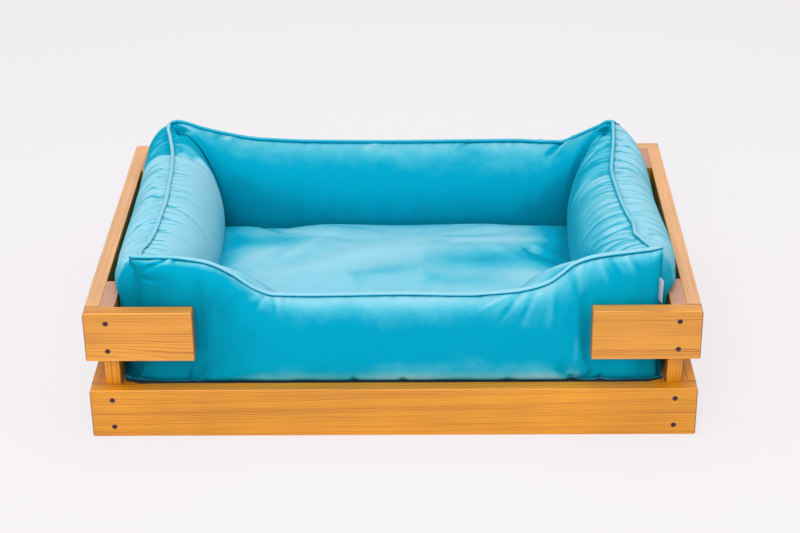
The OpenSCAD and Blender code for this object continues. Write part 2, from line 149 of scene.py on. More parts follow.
class Wire:
    """An output socket of a material. Sums and products on it add Math nodes to that material."""

    def __init__(self, tree, socket):
        self.tree = tree
        self.socket = socket

    def add(self, kind, settings=None, sockets=None, out=0):
        """Adds a node: its type, its settings, and the values or wires of its sockets."""
        node = self.tree.nodes.new(kind)
        for name, value in (settings or {}).items():
            if name == "stops":
                ramp = node.color_ramp
                for spot, (place, shade) in enumerate(value):
                    stop = ramp.elements[spot] if spot < 2 else ramp.elements.new(place)
                    stop.position = place
                    stop.color = (shade, shade, shade, 1)
            else:
                setattr(node, name, value)
        for name, value in (sockets or {}).items():
            if isinstance(value, Wire):
                self.tree.links.new(value.socket, node.inputs[name])
            else:
                node.inputs[name].default_value = value
        return Wire(self.tree, node.outputs[out])

    def maths(self, operation, *values):
        return self.add("ShaderNodeMath", {"operation": operation}, dict(enumerate(values)))

    def __add__(self, other):
        return self.maths("ADD", self, other)

    def __radd__(self, other):
        return self.maths("ADD", other, self)

    def __sub__(self, other):
        return self.maths("SUBTRACT", self, other)

    def __rsub__(self, other):
        return self.maths("SUBTRACT", other, self)

    def __mul__(self, other):
        return self.maths("MULTIPLY", self, other)

    def __rmul__(self, other):
        return self.maths("MULTIPLY", other, self)

    def __truediv__(self, other):
        return self.maths("DIVIDE", self, other)

    def __pow__(self, other):
        return self.maths("POWER", self, other)

    def ease(self, low, high):
        """0 below low, 1 above high, and a smooth step between them."""
        return self.add("ShaderNodeMapRange", {"interpolation_type": "SMOOTHSTEP"},
                        {"Value": self, "From Min": low, "From Max": high})

    def parts(self):
        """The three numbers of a vector."""
        split = self.tree.nodes.new("ShaderNodeSeparateXYZ")
        self.tree.links.new(self.socket, split.inputs[0])
        return [Wire(self.tree, output) for output in split.outputs]

    def vector(self, *numbers):
        return self.add("ShaderNodeCombineXYZ", {}, dict(zip("XYZ", numbers)))

    def noise(self, vector, scale, detail=2.0, roughness=0.5):
        """Smooth noise from 0 to 1, about scale lumps to a unit of the vector."""
        return self.add("ShaderNodeTexNoise", {},
                        {"Vector": vector, "Scale": scale, "Detail": detail,
                         "Roughness": roughness})

    def blend(self, share, first, second):
        """The colour that goes from first to second as share goes from 0 to 1."""
        return self.add("ShaderNodeMix", {"data_type": "RGBA"}, {0: share, 6: first, 7: second}, 2)

    def tint(self, colour, strength):
        """A colour made lighter or darker by a number."""
        grey = self.add("ShaderNodeCombineColor", {}, {0: strength, 1: strength, 2: strength})
        return self.add("ShaderNodeMix", {"data_type": "RGBA", "blend_type": "MULTIPLY"},
                        {0: 1.0, 6: colour, 7: grey}, 2)


def rgba(colour):
    return (*colour, 1.0)


def new_material(name, centre=(0, 0, 0)):
    """A material with its shader and the Object coordinates measured from a centre."""
    material = bpy.data.materials.new(name)
    material.use_nodes = True
    tree = material.node_tree
    shader = tree.nodes["Principled BSDF"]
    coordinates = tree.nodes.new("ShaderNodeTexCoord")
    own = Wire(tree, coordinates.outputs["Object"])
    place = own.add("ShaderNodeMapping", {}, {"Vector": own,
                                              "Location": [-value for value in centre]})
    return material, shader, place


def finish_shader(shader, place, **sockets):
    """Fills the sockets of a shader. A bump is given as (height wire, depth in metres)."""
    for name, value in sockets.items():
        title = name.replace("_", " ")
        if title == "Bump":
            height, depth = value
            value = place.add("ShaderNodeBump", {}, {"Height": height, "Distance": depth})
            title = "Normal"
        if isinstance(value, Wire):
            place.tree.links.new(value.socket, shader.inputs[title])
        else:
            shader.inputs[title].default_value = value


# Brushed patches, streaks and specks of the pile: lumps to a metre, roughness and strength
NAP = [(7.0, 0.5, 0.90), (42.0, 0.6, 0.50), (210.0, 0.6, 0.25)]
TUFTS = 900.0

# Shares of pale pile over which one tone turns into the next
DEEP_TO_MIDDLE = (-0.02, 0.62)
MIDDLE_TO_PALE = (0.40, 1.20)
SHADE_TO_DEEP = (-0.95, -0.15)
DARK_SHADE_TO_SHADE = (-2.4, -1.1)

# Light taken off by painted shade and by darker painted shade, and red that the middle tone loses
SHADE_LOSS, DARK_SHADE_LOSS, MIDDLE_RED_LOSS = 0.30, 0.70, 0.5


def velour(name, seed, lift=0.0, nap=1.0):
    """Velour: pile that is deep in colour seen straight on, with a painted sheen that makes it pale
    where it faces up.

    The share of pale pile is how far the surface faces up, which is the painted sheen, plus its
    brush and painted shading and its lift, and is broken by patches of three sizes. Half way, the
    colour has lost more of its red. Where the share is low the colour is darkened as painted shade,
    and darkest where the painted shading marks a corner or a seam. Fine noise makes the tufts.
    """
    deep, pale = colours().velour, colours().velour_pale_sheen
    material, shader, place = new_material(name, (0.3 * seed, 0.2 * seed, 0))
    geometry = place.tree.nodes.new("ShaderNodeNewGeometry")
    up = Wire(place.tree, geometry.outputs["Normal"]).parts()[2]
    brush = place.add("ShaderNodeAttribute", {"attribute_name": "brush"}, {}, 2)
    patches = [place.noise(place, lumps, 3.0, rough) for lumps, rough, _ in NAP]
    tufts = place.noise(place, TUFTS, 2.0)
    # How far the surface faces up makes the pile pale: painted sheen
    share = up + brush + lift
    for patch, (_, _, strength) in zip(patches, NAP):
        share = share + (patch - 0.5) * (strength * nap)
    middle = [0.5 * (first + second) for first, second in zip(deep, pale)]
    middle[0] *= MIDDLE_RED_LOSS
    colour = place.blend(share.ease(*DEEP_TO_MIDDLE), rgba(deep), rgba(middle))
    colour = place.blend(share.ease(*MIDDLE_TO_PALE), colour, rgba(pale))
    # Painted shade where the share of pale pile is low, and darker painted shade where it is lower
    flat = 1 - share.ease(*SHADE_TO_DEEP)
    dark_shade = 1 - share.ease(*DARK_SHADE_TO_SHADE)
    colour = place.tint(colour, (0.93 + tufts * 0.14) * (1 - flat * SHADE_LOSS)
                        * (1 - dark_shade * DARK_SHADE_LOSS))
    finish_shader(shader, place, Base_Color=colour, Roughness=0.82 + tufts * 0.12,
                  Bump=(tufts + patches[1] * 1.5, 0.4 * MM), Sheen_Weight=0.20,
                  Sheen_Roughness=0.30, Sheen_Tint=(0.12, 0.92, 1.0, 1.0),
                  Specular_IOR_Level=0.03)
    return material


def dress(node, material):
    """Puts a material on a piece that the frame brings."""
    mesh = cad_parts[node].data
    mesh.materials.clear()
    mesh.materials.append(material)


# Surfaces

def ease(low, high, value):
    """0 below low, 1 above high, and a smooth step between them."""
    share = np.clip((value - low) / (high - low), 0, 1)
    return share * share * (3 - 2 * share)


def bell(value, width):
    """1 at zero, and less by the square of the distance, in widths, as a power of e."""
    return np.exp(-((value / width) ** 2))


def running_length(points):
    """Distance along a line of points, from its first."""
    steps = np.linalg.norm(np.diff(points, axis=0), axis=1)
    return np.concatenate([[0], np.cumsum(steps)])


def smooth_line(knots, at):
    """A line through knots, read at places along its first column.

    Each span is a cubic. Its slope at a knot is the harmonic mean of the chords on either
    side, or zero where they turn, so the line never swings past a knot.
    """
    knots = np.array(knots, float)
    along, values = knots[:, 0], knots[:, 1:]
    chords = np.diff(values, axis=0) / np.diff(along)[:, None]
    before, after = chords[:-1], chords[1:]
    turned = before * after <= 0
    total = np.where(turned, 1, before + after)
    inner = np.where(turned, 0, 2 * before * after / total)
    slopes = np.vstack([chords[:1], inner, chords[-1:]])
    span = np.clip(np.searchsorted(along, at, side="right") - 1, 0, len(along) - 2)
    length = (along[span + 1] - along[span])[:, None]
    u = (at - along[span])[:, None] / length
    return (values[span] * (2 * u**3 - 3 * u**2 + 1) + slopes[span] * length * (u**3 - 2 * u**2 + u)
            + values[span + 1] * (3 * u**2 - 2 * u**3)
            + slopes[span + 1] * length * (u**3 - u**2))


def grid_normals(points):
    """Normals of a grid of points: the cross product of its two tangents."""
    normals = np.cross(np.gradient(points, axis=0), np.gradient(points, axis=1))
    return normals / np.maximum(np.linalg.norm(normals, axis=2, keepdims=True), 1e-9)


def new_mesh(name, points, faces):
    """A mesh whose faces point outwards: they are turned over where the volume they enclose,
    the sum over its triangles of a corner times the cross product of the others, is negative."""
    points = np.asarray(points).reshape(-1, 3)
    mesh = bpy.data.meshes.new(name)
    mesh.from_pydata(points.tolist(), [], [list(f) for f in faces])
    mesh.calc_loop_triangles()
    corners = np.empty(3 * len(mesh.loop_triangles), np.int32)
    mesh.loop_triangles.foreach_get("vertices", corners)
    first, second, third = points[corners].reshape(-1, 3, 3).transpose(1, 0, 2)
    if np.sum(first * np.cross(second, third)) < 0:
        mesh.flip_normals()
    mesh.update()
    return mesh


def new_piece(name, points, faces, body, material, replaces=()):
    """A mesh piece that rides on a body, takes a slot's finish and stands for CAD nodes."""
    mesh = new_mesh(name, points, faces)
    mesh.polygons.foreach_set("use_smooth", [len(face) < 5 for face in faces])
    piece = bpy.data.objects.new(name, mesh)
    bpy.context.scene.collection.objects.link(piece)
    mesh.materials.append(material)
    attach(piece, body)
    if replaces:
        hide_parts(*replaces)
    return piece


def grid_faces(index):
    """Faces of an open grid of point numbers."""
    corners = [index[:-1, :-1], index[1:, :-1], index[1:, 1:], index[:-1, 1:]]
    return np.stack(corners, 2).reshape(-1, 4)


def tube_faces(rows, ring):
    """Faces of a closed skin over rows of rings, capped at both ends."""
    row, spot = np.meshgrid(np.arange(rows - 1), np.arange(ring), indexing="ij")
    a = row * ring + spot
    b = row * ring + (spot + 1) % ring
    sides = np.stack([a, a + ring, b + ring, b], axis=2).reshape(-1, 4).tolist()
    start = list(range(ring))
    end = list(range(rows * ring - 1, (rows - 1) * ring - 1, -1))
    return sides + [start, end]


def tube(path, across, up, radius, ring=12):
    """Rings of a tube: circles on two unit directions at each point of a path."""
    turn = 2 * np.pi * np.arange(ring) / ring
    radius = np.broadcast_to(radius, len(path))[:, None, None]
    return (path[:, None] + radius * (np.cos(turn)[None, :, None] * across[:, None]
                                      + np.sin(turn)[None, :, None] * up[:, None]))


def directions(path):
    """Unit directions along a path, level across it, and up from it."""
    along = np.gradient(path, axis=0)
    along /= np.linalg.norm(along, axis=1, keepdims=True)
    across = np.cross(along, [0, 0, 1.0])
    across /= np.linalg.norm(across, axis=1, keepdims=True)
    return along, across, np.cross(across, along)


def refine(points, closed):
    """Halves the steps of a grid. A new point is its four neighbours in a row, by the weights
    -1, 9, 9 and -1 over 16. The second direction may close on itself."""
    for axis, wraps in ((0, False), (1, closed)):
        rows = np.moveaxis(points, axis, 0)
        if wraps:
            rows = np.concatenate([rows[-1:], rows, rows[:2]])
        else:
            rows = np.concatenate([2 * rows[:1] - rows[1:2], rows, 2 * rows[-1:] - rows[-2:-1]])
        middle = (9 * (rows[1:-2] + rows[2:-1]) - rows[:-3] - rows[3:]) / 16
        kept = rows[1:-2]
        woven = np.stack([kept, middle], axis=1).reshape(-1, *kept.shape[1:])
        if not wraps:
            woven = np.concatenate([woven, rows[-2:-1]])
        points = np.moveaxis(woven, 0, axis)
    return points


def folds(first, second, lines):
    """What folds add up to over two flat directions. A fold runs from one place to another, and
    is a bell across its line. It fades in over its first tenth and out over its last half. A
    row holds the two places, the half width and the height, with all but the last in mm."""
    total = np.zeros_like(first)
    for *places, height in lines:
        a0, b0, a1, b1, width = np.array(places) * MM
        length = math.hypot(a1 - a0, b1 - b0)
        along = ((first - a0) * (a1 - a0) + (second - b0) * (b1 - b0)) / length**2
        aside = ((second - b0) * (a1 - a0) - (first - a0) * (b1 - b0)) / length
        fade = ease(-0.04, 0.10, along) * (1 - ease(0.45, 1.05, along))
        total += height * fade * bell(aside, width)
    return total


def set_brush_and_shading(piece, values):
    """How pale the pile is, from its brushing and from painted light and shade, as an attribute of
    the points: it adds to how far the surface faces up, and below -1 it gives darker painted shade."""
    brush = piece.data.attributes.new("brush", "FLOAT", "POINT")
    brush.data.foreach_set("value", np.ravel(values).astype(np.float32))


# Walls. Each line of a wall is given by its points in the two corners and by knots between.
# The five lines of a wall: outer foot, outer belly, top seam, inner belly, inner foot.

CORNERS = {
    "front_left": [(-392, -264.5), (-370.5, -262), None, (-296.5, -166.5), (-313.5, -183.5)],
    "front_right": [(401, -264.5), (392, -261), None, (296.5, -166.5), (313.5, -183.5)],
    "back_left": [(-381, 250), (-385, 250), None, (-296.5, 162), (-313.5, 179)],
    "back_right": [(377, 250), (381, 250), None, (296.5, 162), (313.5, 179)],
}

# Knots of each line by place along the wall. The seam's knots hold its height too.
WALLS = {
    "front": {
        "ends": ("front_left", "front_right"),
        "outer_foot": [(-360, -268), (-335, -270), (-300, -270.5), (300, -270.5), (360, -270),
                       (386, -267.5)],
        "outer_belly": [(-352, -269), (-330, -273), (-302, -272), (-285, -271.5), (-266, -279),
                        (-240, -280), (-100, -280.5), (100, -280.5), (240, -280), (266, -279),
                        (285, -271.5), (302, -272), (350, -273.5), (378, -269)],
        "seam": [(-384, -245, 271.5), (-368, -249, 273), (-323, -250, 272.5), (-294, -250, 269.5),
                 (-270, -250, 264.5), (-237, -250, 247.5), (-201, -250, 221), (-175, -250, 211.5),
                 (-117, -250, 210), (11, -250, 211.5), (112, -250, 209.5), (143, -250, 211.5),
                 (180, -250, 215), (209, -250, 221.5), (230, -250, 230), (248, -250, 244),
                 (266, -250, 260), (295, -250, 271), (345, -250, 278.5), (374, -249, 282),
                 (394, -244, 284)],
        "inner_belly": [(-200, -153), (0, -152.5), (200, -153)],
        "inner_foot": [(-200, -170), (0, -169.5), (200, -170)],
    },
    "back": {
        "ends": ("back_left", "back_right"),
        "outer_foot": [(-362, 265), (-330, 268), (330, 268), (360, 265)],
        "outer_belly": [(-366, 265), (-330, 268), (330, 268), (362, 265)],
        "seam": [(-379, 228, 280), (-366, 231, 282), (-352, 231, 279), (-330, 231, 271),
                 (-295, 232, 261), (-237, 233, 249), (-187, 234, 245), (-141, 234, 243),
                 (7, 234, 241.5), (200, 234, 242.5), (251, 234, 240), (278, 233, 240),
                 (288, 233, 243), (310, 232, 254), (342, 231, 270), (357, 230, 278),
                 (370, 228, 275.5)],
        "inner_belly": [(-200, 149), (0, 148), (200, 149)],
        "inner_foot": [(-200, 166), (0, 165), (200, 166)],
    },
    "left": {
        "ends": ("front_left", "back_left"),
        "outer_foot": [(-256, -402), (-200, -404), (-150, -415.5), (170, -417.5), (210, -410),
                       (238, -395)],
        "outer_belly": [(-252, -393), (-243, -404), (-215, -414), (-160, -418.5), (-50, -419),
                        (100, -420), (170, -422), (215, -419), (240, -406)],
        "seam": [(-243, -368, 270.5), (-213, -371.5, 265), (-182, -364, 264), (-136, -358, 265),
                 (-91, -356, 266), (-44, -354, 267), (8, -356, 267), (60, -358, 266),
                 (107, -362, 265), (150, -366.5, 263), (190, -374.5, 271), (216, -380, 278),
                 (228, -379, 280)],
        "inner_belly": [(-100, -281.5), (0, -280), (100, -281.5)],
        "inner_foot": [(-100, -301), (0, -299.5), (100, -301)],
    },
    "right": {
        "ends": ("front_right", "back_right"),
        "outer_foot": [(-245, 399), (-195, 412), (-140, 419.5), (-50, 418), (100, 414), (190, 404),
                       (235, 390)],
        "outer_belly": [(-250, 402), (-240, 412), (-205, 420), (-150, 426.5), (-100, 426),
                        (-50, 423.5), (50, 419.5), (130, 418), (190, 412), (235, 397)],
        "seam": [(-243, 381, 280), (-216, 374.5, 275), (-187, 367.2, 270.5), (-168, 361.8, 268.5),
                 (-152, 362, 267.5), (-136, 362.5, 266.5), (-120, 360, 266.5), (-101, 356.7, 266.5),
                 (-46, 351, 266), (10, 348, 265.5), (44, 346.8, 264.5), (69, 347.5, 262.5),
                 (110, 352, 266), (150, 357, 269.5), (190, 361, 273.5), (228, 363, 277)],
        "inner_belly": [(-100, 281.5), (0, 280), (100, 281.5)],
        "inner_foot": [(-100, 301), (0, 299.5), (100, 301)],
    },
}
LINES = ("outer_foot", "outer_belly", "seam", "inner_belly", "inner_foot")

# Height of the belly as a share of the panel's, and how squared off the panel's oval is
OUTER_BELLY_SHARE, OUTER_FULLNESS = 0.60, 3.1
INNER_BELLY_SHARE, INNER_FULLNESS = 0.46, 2.15

# Rows of points up the outer panel, down the inner one, and across the flat bottom
OUTER_ROWS = 28
INNER_ROWS = 30
BOTTOM_ROWS = 6


def is_long(wall):
    """Whether a wall runs along X. The others run along Y."""
    return wall in ("front", "back")


def wall_line(wall, line, share):
    """Points of one line of a wall: plan place and, for the seam, height."""
    shape = WALLS[wall]
    along = 0 if is_long(wall) else 1
    knots = list(shape[line])
    if line != "seam":
        number = LINES.index(line)
        low, high = (CORNERS[corner][number] for corner in shape["ends"])
        knots = [(low[along], low[1 - along]), *knots, (high[along], high[1 - along])]
    knots = np.array(knots) * MM
    at = knots[0, 0] + (knots[-1, 0] - knots[0, 0]) * share
    values = smooth_line(knots, at)
    plan = np.empty((len(at), 2))
    plan[:, along] = at
    plan[:, 1 - along] = values[:, 0]
    return (plan, values[:, 1]) if line == "seam" else plan


def panel(foot, belly, seam, belly_share, fullness, top, v, slope=0.0):
    """Two quarters of an oval: from the foot out to the belly, and in from there to the seam.

    Below v = 0.5 the point goes out by the sine and up by one less the cosine of a quarter
    turn, each raised to 2 / fullness, and above it by the cosine and the sine. A slope of 1
    lets the upper quarter fall nearly straight from the seam towards the back instead.
    """
    low = v < 0.5
    turned = np.pi * np.where(low, v, v - 0.5)
    sine = np.clip(np.sin(turned), 0, 1) ** (2 / fullness)
    cosine = np.clip(np.cos(turned), 0, 1) ** (2 / fullness)
    out = np.where(low, sine, cosine)[None, :, None] * np.ones((len(foot), 1, 2))
    straight = np.where(low, sine, 1 - sine)
    out[..., 1] += (straight - out[..., 1]) * np.reshape(slope, (-1, 1))
    rise = np.where(low, belly_share * (1 - cosine), belly_share + (1 - belly_share) * sine)
    start = np.where(low[None, :, None], foot[:, None], seam[:, None])
    plan = start + (belly[:, None] - start) * out
    height = WALL_FOOT + rise[None, :] * top[:, None]
    return np.concatenate([plan, height[..., None]], axis=2)


# Width and height of the section by which the rows are spaced
TYPICAL_SECTION = (0.07, 0.19)


def even_steps(fullness, count, belly_share):
    """Values of v that step evenly up a panel of a typical section."""
    width, height = TYPICAL_SECTION
    v = np.linspace(0, 1, 2001)
    flat = np.zeros((1, 2))
    curve = panel(flat, flat + [width, 0], flat, belly_share, fullness, np.array([height]), v)[0]
    length = running_length(curve)
    return np.interp(np.linspace(0, length[-1], count + 1), length, v)


# Room that cloth keeps from the boards and from the posts, how far it may bulge between the
# short boards, and the height at which that starts
BOARD_ROOM, POST_ROOM = 0.0015, 0.003
FRONT_BULGE, FRONT_BULGE_START = 0.0045, 0.082


def frame_limit(points):
    """Keeps cloth inside the boards and clear of the posts. It may spread over the posts' tops,
    and bulge a little between the short boards."""
    x, y, z = points[..., 0], points[..., 1], points[..., 2]
    side_room = BOARD_LOW.x - BOARD_ROOM
    post_room = POST_LOW.x - POST_ROOM
    beside_post = ease(POST_LOW.y - 0.016, POST_LOW.y - 0.003, np.abs(y))
    under_top = 1 - ease(POST_HIGH.z - 0.002, POST_HIGH.z + 0.016, z)
    reach = side_room + (post_room - side_room) * beside_post * under_top
    points[..., 0] = np.clip(x, -reach, reach)
    front_room = -FRONT_BOARD_HIGH.y - BOARD_ROOM
    behind_board = ease(FRONT_BOARD_LOW.x - 0.012, FRONT_BOARD_LOW.x - 0.002, np.abs(x))
    kept_in = np.maximum(behind_board * under_top, z < FRONT_BULGE_START)
    deep = front_room + FRONT_BULGE - FRONT_BULGE * kept_in
    points[..., 1] = np.clip(y, -deep, POST_HIGH.y - BOARD_ROOM)
    return points


# How much closer the stations of a wall lie at its ends than in its middle
END_CROWDING = 0.15


def drawn_wall(wall, stations):
    """The wall as it is drawn: one row of points round its section at each station.

    The rear peaks of the side walls stand up steeply outside. The front wall's inner panel
    falls steeply behind its seam, and so do the front ends of the side walls.
    """
    u = np.linspace(-1, 1, stations)
    share = 0.5 + 0.5 * u * (1 + END_CROWDING - END_CROWDING * u * u)
    foot, belly, inner_belly, inner_foot = (
        wall_line(wall, line, share) for line in LINES if line != "seam")
    seam, height = wall_line(wall, "seam", share)
    top = height - WALL_FOOT
    up = even_steps(OUTER_FULLNESS, OUTER_ROWS, OUTER_BELLY_SHARE)
    down = even_steps(INNER_FULLNESS, INNER_ROWS, INNER_BELLY_SHARE)[::-1]
    peak = np.zeros(stations) if is_long(wall) else 0.55 * ease(0.84, 0.98, share)
    steep = 1 - ease(0.0, 0.45, share)
    slope = {"front": np.ones(stations), "back": np.zeros(stations)}.get(wall, steep)
    outer = panel(foot, belly, seam, OUTER_BELLY_SHARE, OUTER_FULLNESS, top, up, peak)
    inner = panel(inner_foot, inner_belly, seam, INNER_BELLY_SHARE, INNER_FULLNESS, top, down,
                  slope)
    across = np.linspace(0, 1, BOTTOM_ROWS + 1)[None, 1:-1, None]
    bottom = inner[:, -1:] + (outer[:, :1] - inner[:, -1:]) * across
    return np.concatenate([outer, inner[:, 1:], bottom], axis=1)


# Places along the front wall's foot where its cloth stands off the board, with the gap's half
# width and its size
FOOT_GAPS = [(-301, 4, 1.0), (-230, 30, 0.3), (-128, 24, 0.3), (-57, 6, 1.0), (16, 6, 0.9),
             (100, 30, 0.3), (172, 10, 0.6), (268, 9, 1.6), (308, 6, 1.2)]

# The front wall's outer panel lies in front of this place
FRONT_SIDE = -0.25


def tuck_foot(wall, points):
    """The front wall's outer panel turns in above its foot: a bell over the height, 2 mm deep
    and 4 mm high, and deeper and higher by bells along the wall at the gaps."""
    if wall != "front":
        return points
    x, y, z = points[..., 0], points[..., 1], points[..., 2]
    gap = sum(size * bell(x - place * MM, width * MM) for place, width, size in FOOT_GAPS)
    depth = 0.002 + 0.003 * gap
    points[..., 1] += (y < FRONT_SIDE) * depth * bell(z - WALL_FOOT, 0.004 + 0.0035 * gap)
    return points


def outward(points):
    """Outward normals of a wall whose rings are closed."""
    wrapped = np.concatenate([points[:, -1:], points, points[:, :1]], axis=1)
    normals = grid_normals(wrapped)[:, 1:-1]
    centre = points.mean(axis=1, keepdims=True)
    side = np.sign(np.sum(normals * (points - centre)))
    return normals * side


def cut_cloth(points, wall):
    """The cloth before it was gathered: longer than the wall by its spare share.

    The spare share is full from the seam to half way down a panel, and halves at the foot.
    """
    along = 0 if is_long(wall) else 1
    height = (points[..., 2] - WALL_FOOT) / (points[..., 2].max() - WALL_FOOT)
    share = wall_spare(wall, points) * (0.5 + 0.5 * ease(0.0, 0.5, height))
    step = np.gradient(points[..., along], axis=0)
    extra = np.cumsum(step * share, axis=0)
    extra -= extra[len(points) // 2]
    cut = points.copy()
    cut[..., along] += extra
    return cut


def relax(piece, cut, held, frames, pressure, tension, bending):
    """Cloth simulation with pressure. Returns where the points come to rest."""
    scene = bpy.context.scene
    piece.shape_key_add(name="drawn")
    key = piece.shape_key_add(name="cut")
    key.data.foreach_set("co", cut.ravel())
    group = piece.vertex_groups.new(name="held")
    group.add(np.flatnonzero(held).tolist(), 1.0, "REPLACE")
    cloth = piece.modifiers.new("cloth", "CLOTH")
    settings = dict(
        quality=6, mass=0.3, air_damping=1.0, tension_stiffness=tension,
        compression_stiffness=tension, shear_stiffness=0.3 * tension, bending_stiffness=bending,
        tension_damping=5.0, compression_damping=5.0, bending_damping=0.5, use_pressure=True,
        uniform_pressure_force=pressure, vertex_group_mass="held", rest_shape_key=key)
    for name, value in settings.items():
        setattr(cloth.settings, name, value)
    cloth.settings.effector_weights.gravity = 0.0
    cloth.collision_settings.use_collision = False
    cloth.point_cache.frame_start = 1
    cloth.point_cache.frame_end = frames
    for number in range(1, frames + 1):
        scene.frame_set(number)
    graph = bpy.context.evaluated_depsgraph_get()
    moved = piece.evaluated_get(graph).data
    points = np.empty(len(moved.vertices) * 3)
    moved.vertices.foreach_get("co", points)
    piece.modifiers.remove(cloth)
    piece.shape_key_clear()
    piece.vertex_groups.clear()
    scene.frame_set(1)
    return points.reshape(-1, 3)


def settle(drawn, faces, cut, held, reach, limit, **feel):
    """Relaxes a shape, caps how far its points move, and keeps them inside a limit."""
    draft = bpy.data.objects.new("draft", new_mesh("draft", drawn, faces))
    bpy.context.scene.collection.objects.link(draft)
    rest = relax(draft, cut, held, **feel).reshape(drawn.shape)
    bpy.data.objects.remove(draft)
    move = rest - drawn
    far = np.linalg.norm(move, axis=-1, keepdims=True)
    return limit(drawn + move * np.minimum(1, reach / np.maximum(far, 1e-9)))


def soften(grid, times):
    """Evens out a wall's grid of values: each becomes a quarter of its two neighbours and half
    of itself, first along the wall and then round its section."""
    for _ in range(times):
        for axis, mode in ((0, "edge"), (1, "wrap")):
            sides = [(1, 1) if spot == axis else (0, 0) for spot in range(grid.ndim)]
            wide = np.moveaxis(np.pad(grid, sides, mode=mode), axis, 0)
            grid = np.moveaxis(0.25 * wide[:-2] + 0.5 * wide[1:-1] + 0.25 * wide[2:], 0, axis)
    return grid


def from_seam(points, seam_row, last_row):
    """Distance of each point from the top seam round the section: outer panel positive."""
    step = np.linalg.norm(np.diff(points, axis=1, append=points[:, :1]), axis=2)
    length = np.cumsum(step, axis=1) - step
    distance = length[:, seam_row : seam_row + 1] - length
    distance[:, last_row + 1 :] = distance[:, last_row : last_row + 1]
    return distance


def from_ends(points, seam_row):
    """Distance of each station from the nearer end of the wall, along its seam."""
    along = running_length(points[:, seam_row])
    return np.minimum(along, along[-1] - along)[:, None]


def corner_dent(points, distance, ends):
    """Depth of the groove of the upright seams: a bell from the wall's ends, 3.5 mm wide on the
    outer panel and 12 mm on the inner one, which runs out towards the top seam. On the inner
    panel of the rear corners it is twice as deep, with a hollow under the peak."""
    inner = distance < 0
    near_end = bell(ends, np.where(inner, 0.012, 0.0035))
    near_top = bell(distance, np.where(inner, 0.009, 0.014))
    hollow = 2.0 + 9.0 * bell(distance + 0.020, 0.013)
    depth = sizes().seam_groove * np.where(inner & (points[..., 1] > 0), hollow, 1.0)
    return depth * near_end * (1 - near_top)


def gathers(seed, low, high, side, pitch, length, depth, lean=0.0):
    """Folds that a gathered seam throws off to one side, at uneven steps, in mm."""
    random = np.random.RandomState(seed)
    count = int((high - low) / pitch)
    places = low + (high - low) * np.cumsum(random.uniform(0.6, 1.4, count)) / count
    lengths = length * random.uniform(0.45, 1.35, count)
    leans = lean + random.uniform(-0.16, 0.16, count)
    depths = depth * random.uniform(0.35, 1.3, count)
    widths = pitch * random.uniform(0.20, 0.38, count)
    return [(a, 0.0, a + slope * reach, side * reach, width, -rise)
            for a, reach, slope, rise, width in zip(places, lengths, leans, depths, widths)]


# Gathers of each wall in mm: seed, from and to, panel, pitch, length, depth and lean
GATHERS = {
    "left": [(3, -235, 0, 1, 12.5, 48, 5.6, -0.50), (16, 0, 225, 1, 12.5, 42, 4.4, -0.25),
             (12, -200, 225, 1, 25, 80, 5.0, -0.40), (4, -235, 225, -1, 11.5, 34, 2.2),
             (13, -235, 225, -1, 30, 120, 0.6, -0.05)],
    "right": [(5, -235, 225, 1, 12, 36, 3.8, -0.15), (14, -235, 225, 1, 28, 75, 4.4, -0.10),
              (6, -235, 225, -1, 11.5, 36, 1.1), (15, -235, 225, -1, 26, 100, 1.2)],
    "front": [(7, 150, 380, 1, 13, 22, 0.3), (8, -370, -140, 1, 14, 22, 0.3),
              (11, -140, 150, 1, 30, 20, 0.4)],
    "back": [(9, -360, 360, 1, 13, 45, 1.4), (10, -360, 360, -1, 20, 22, 0.5)],
}
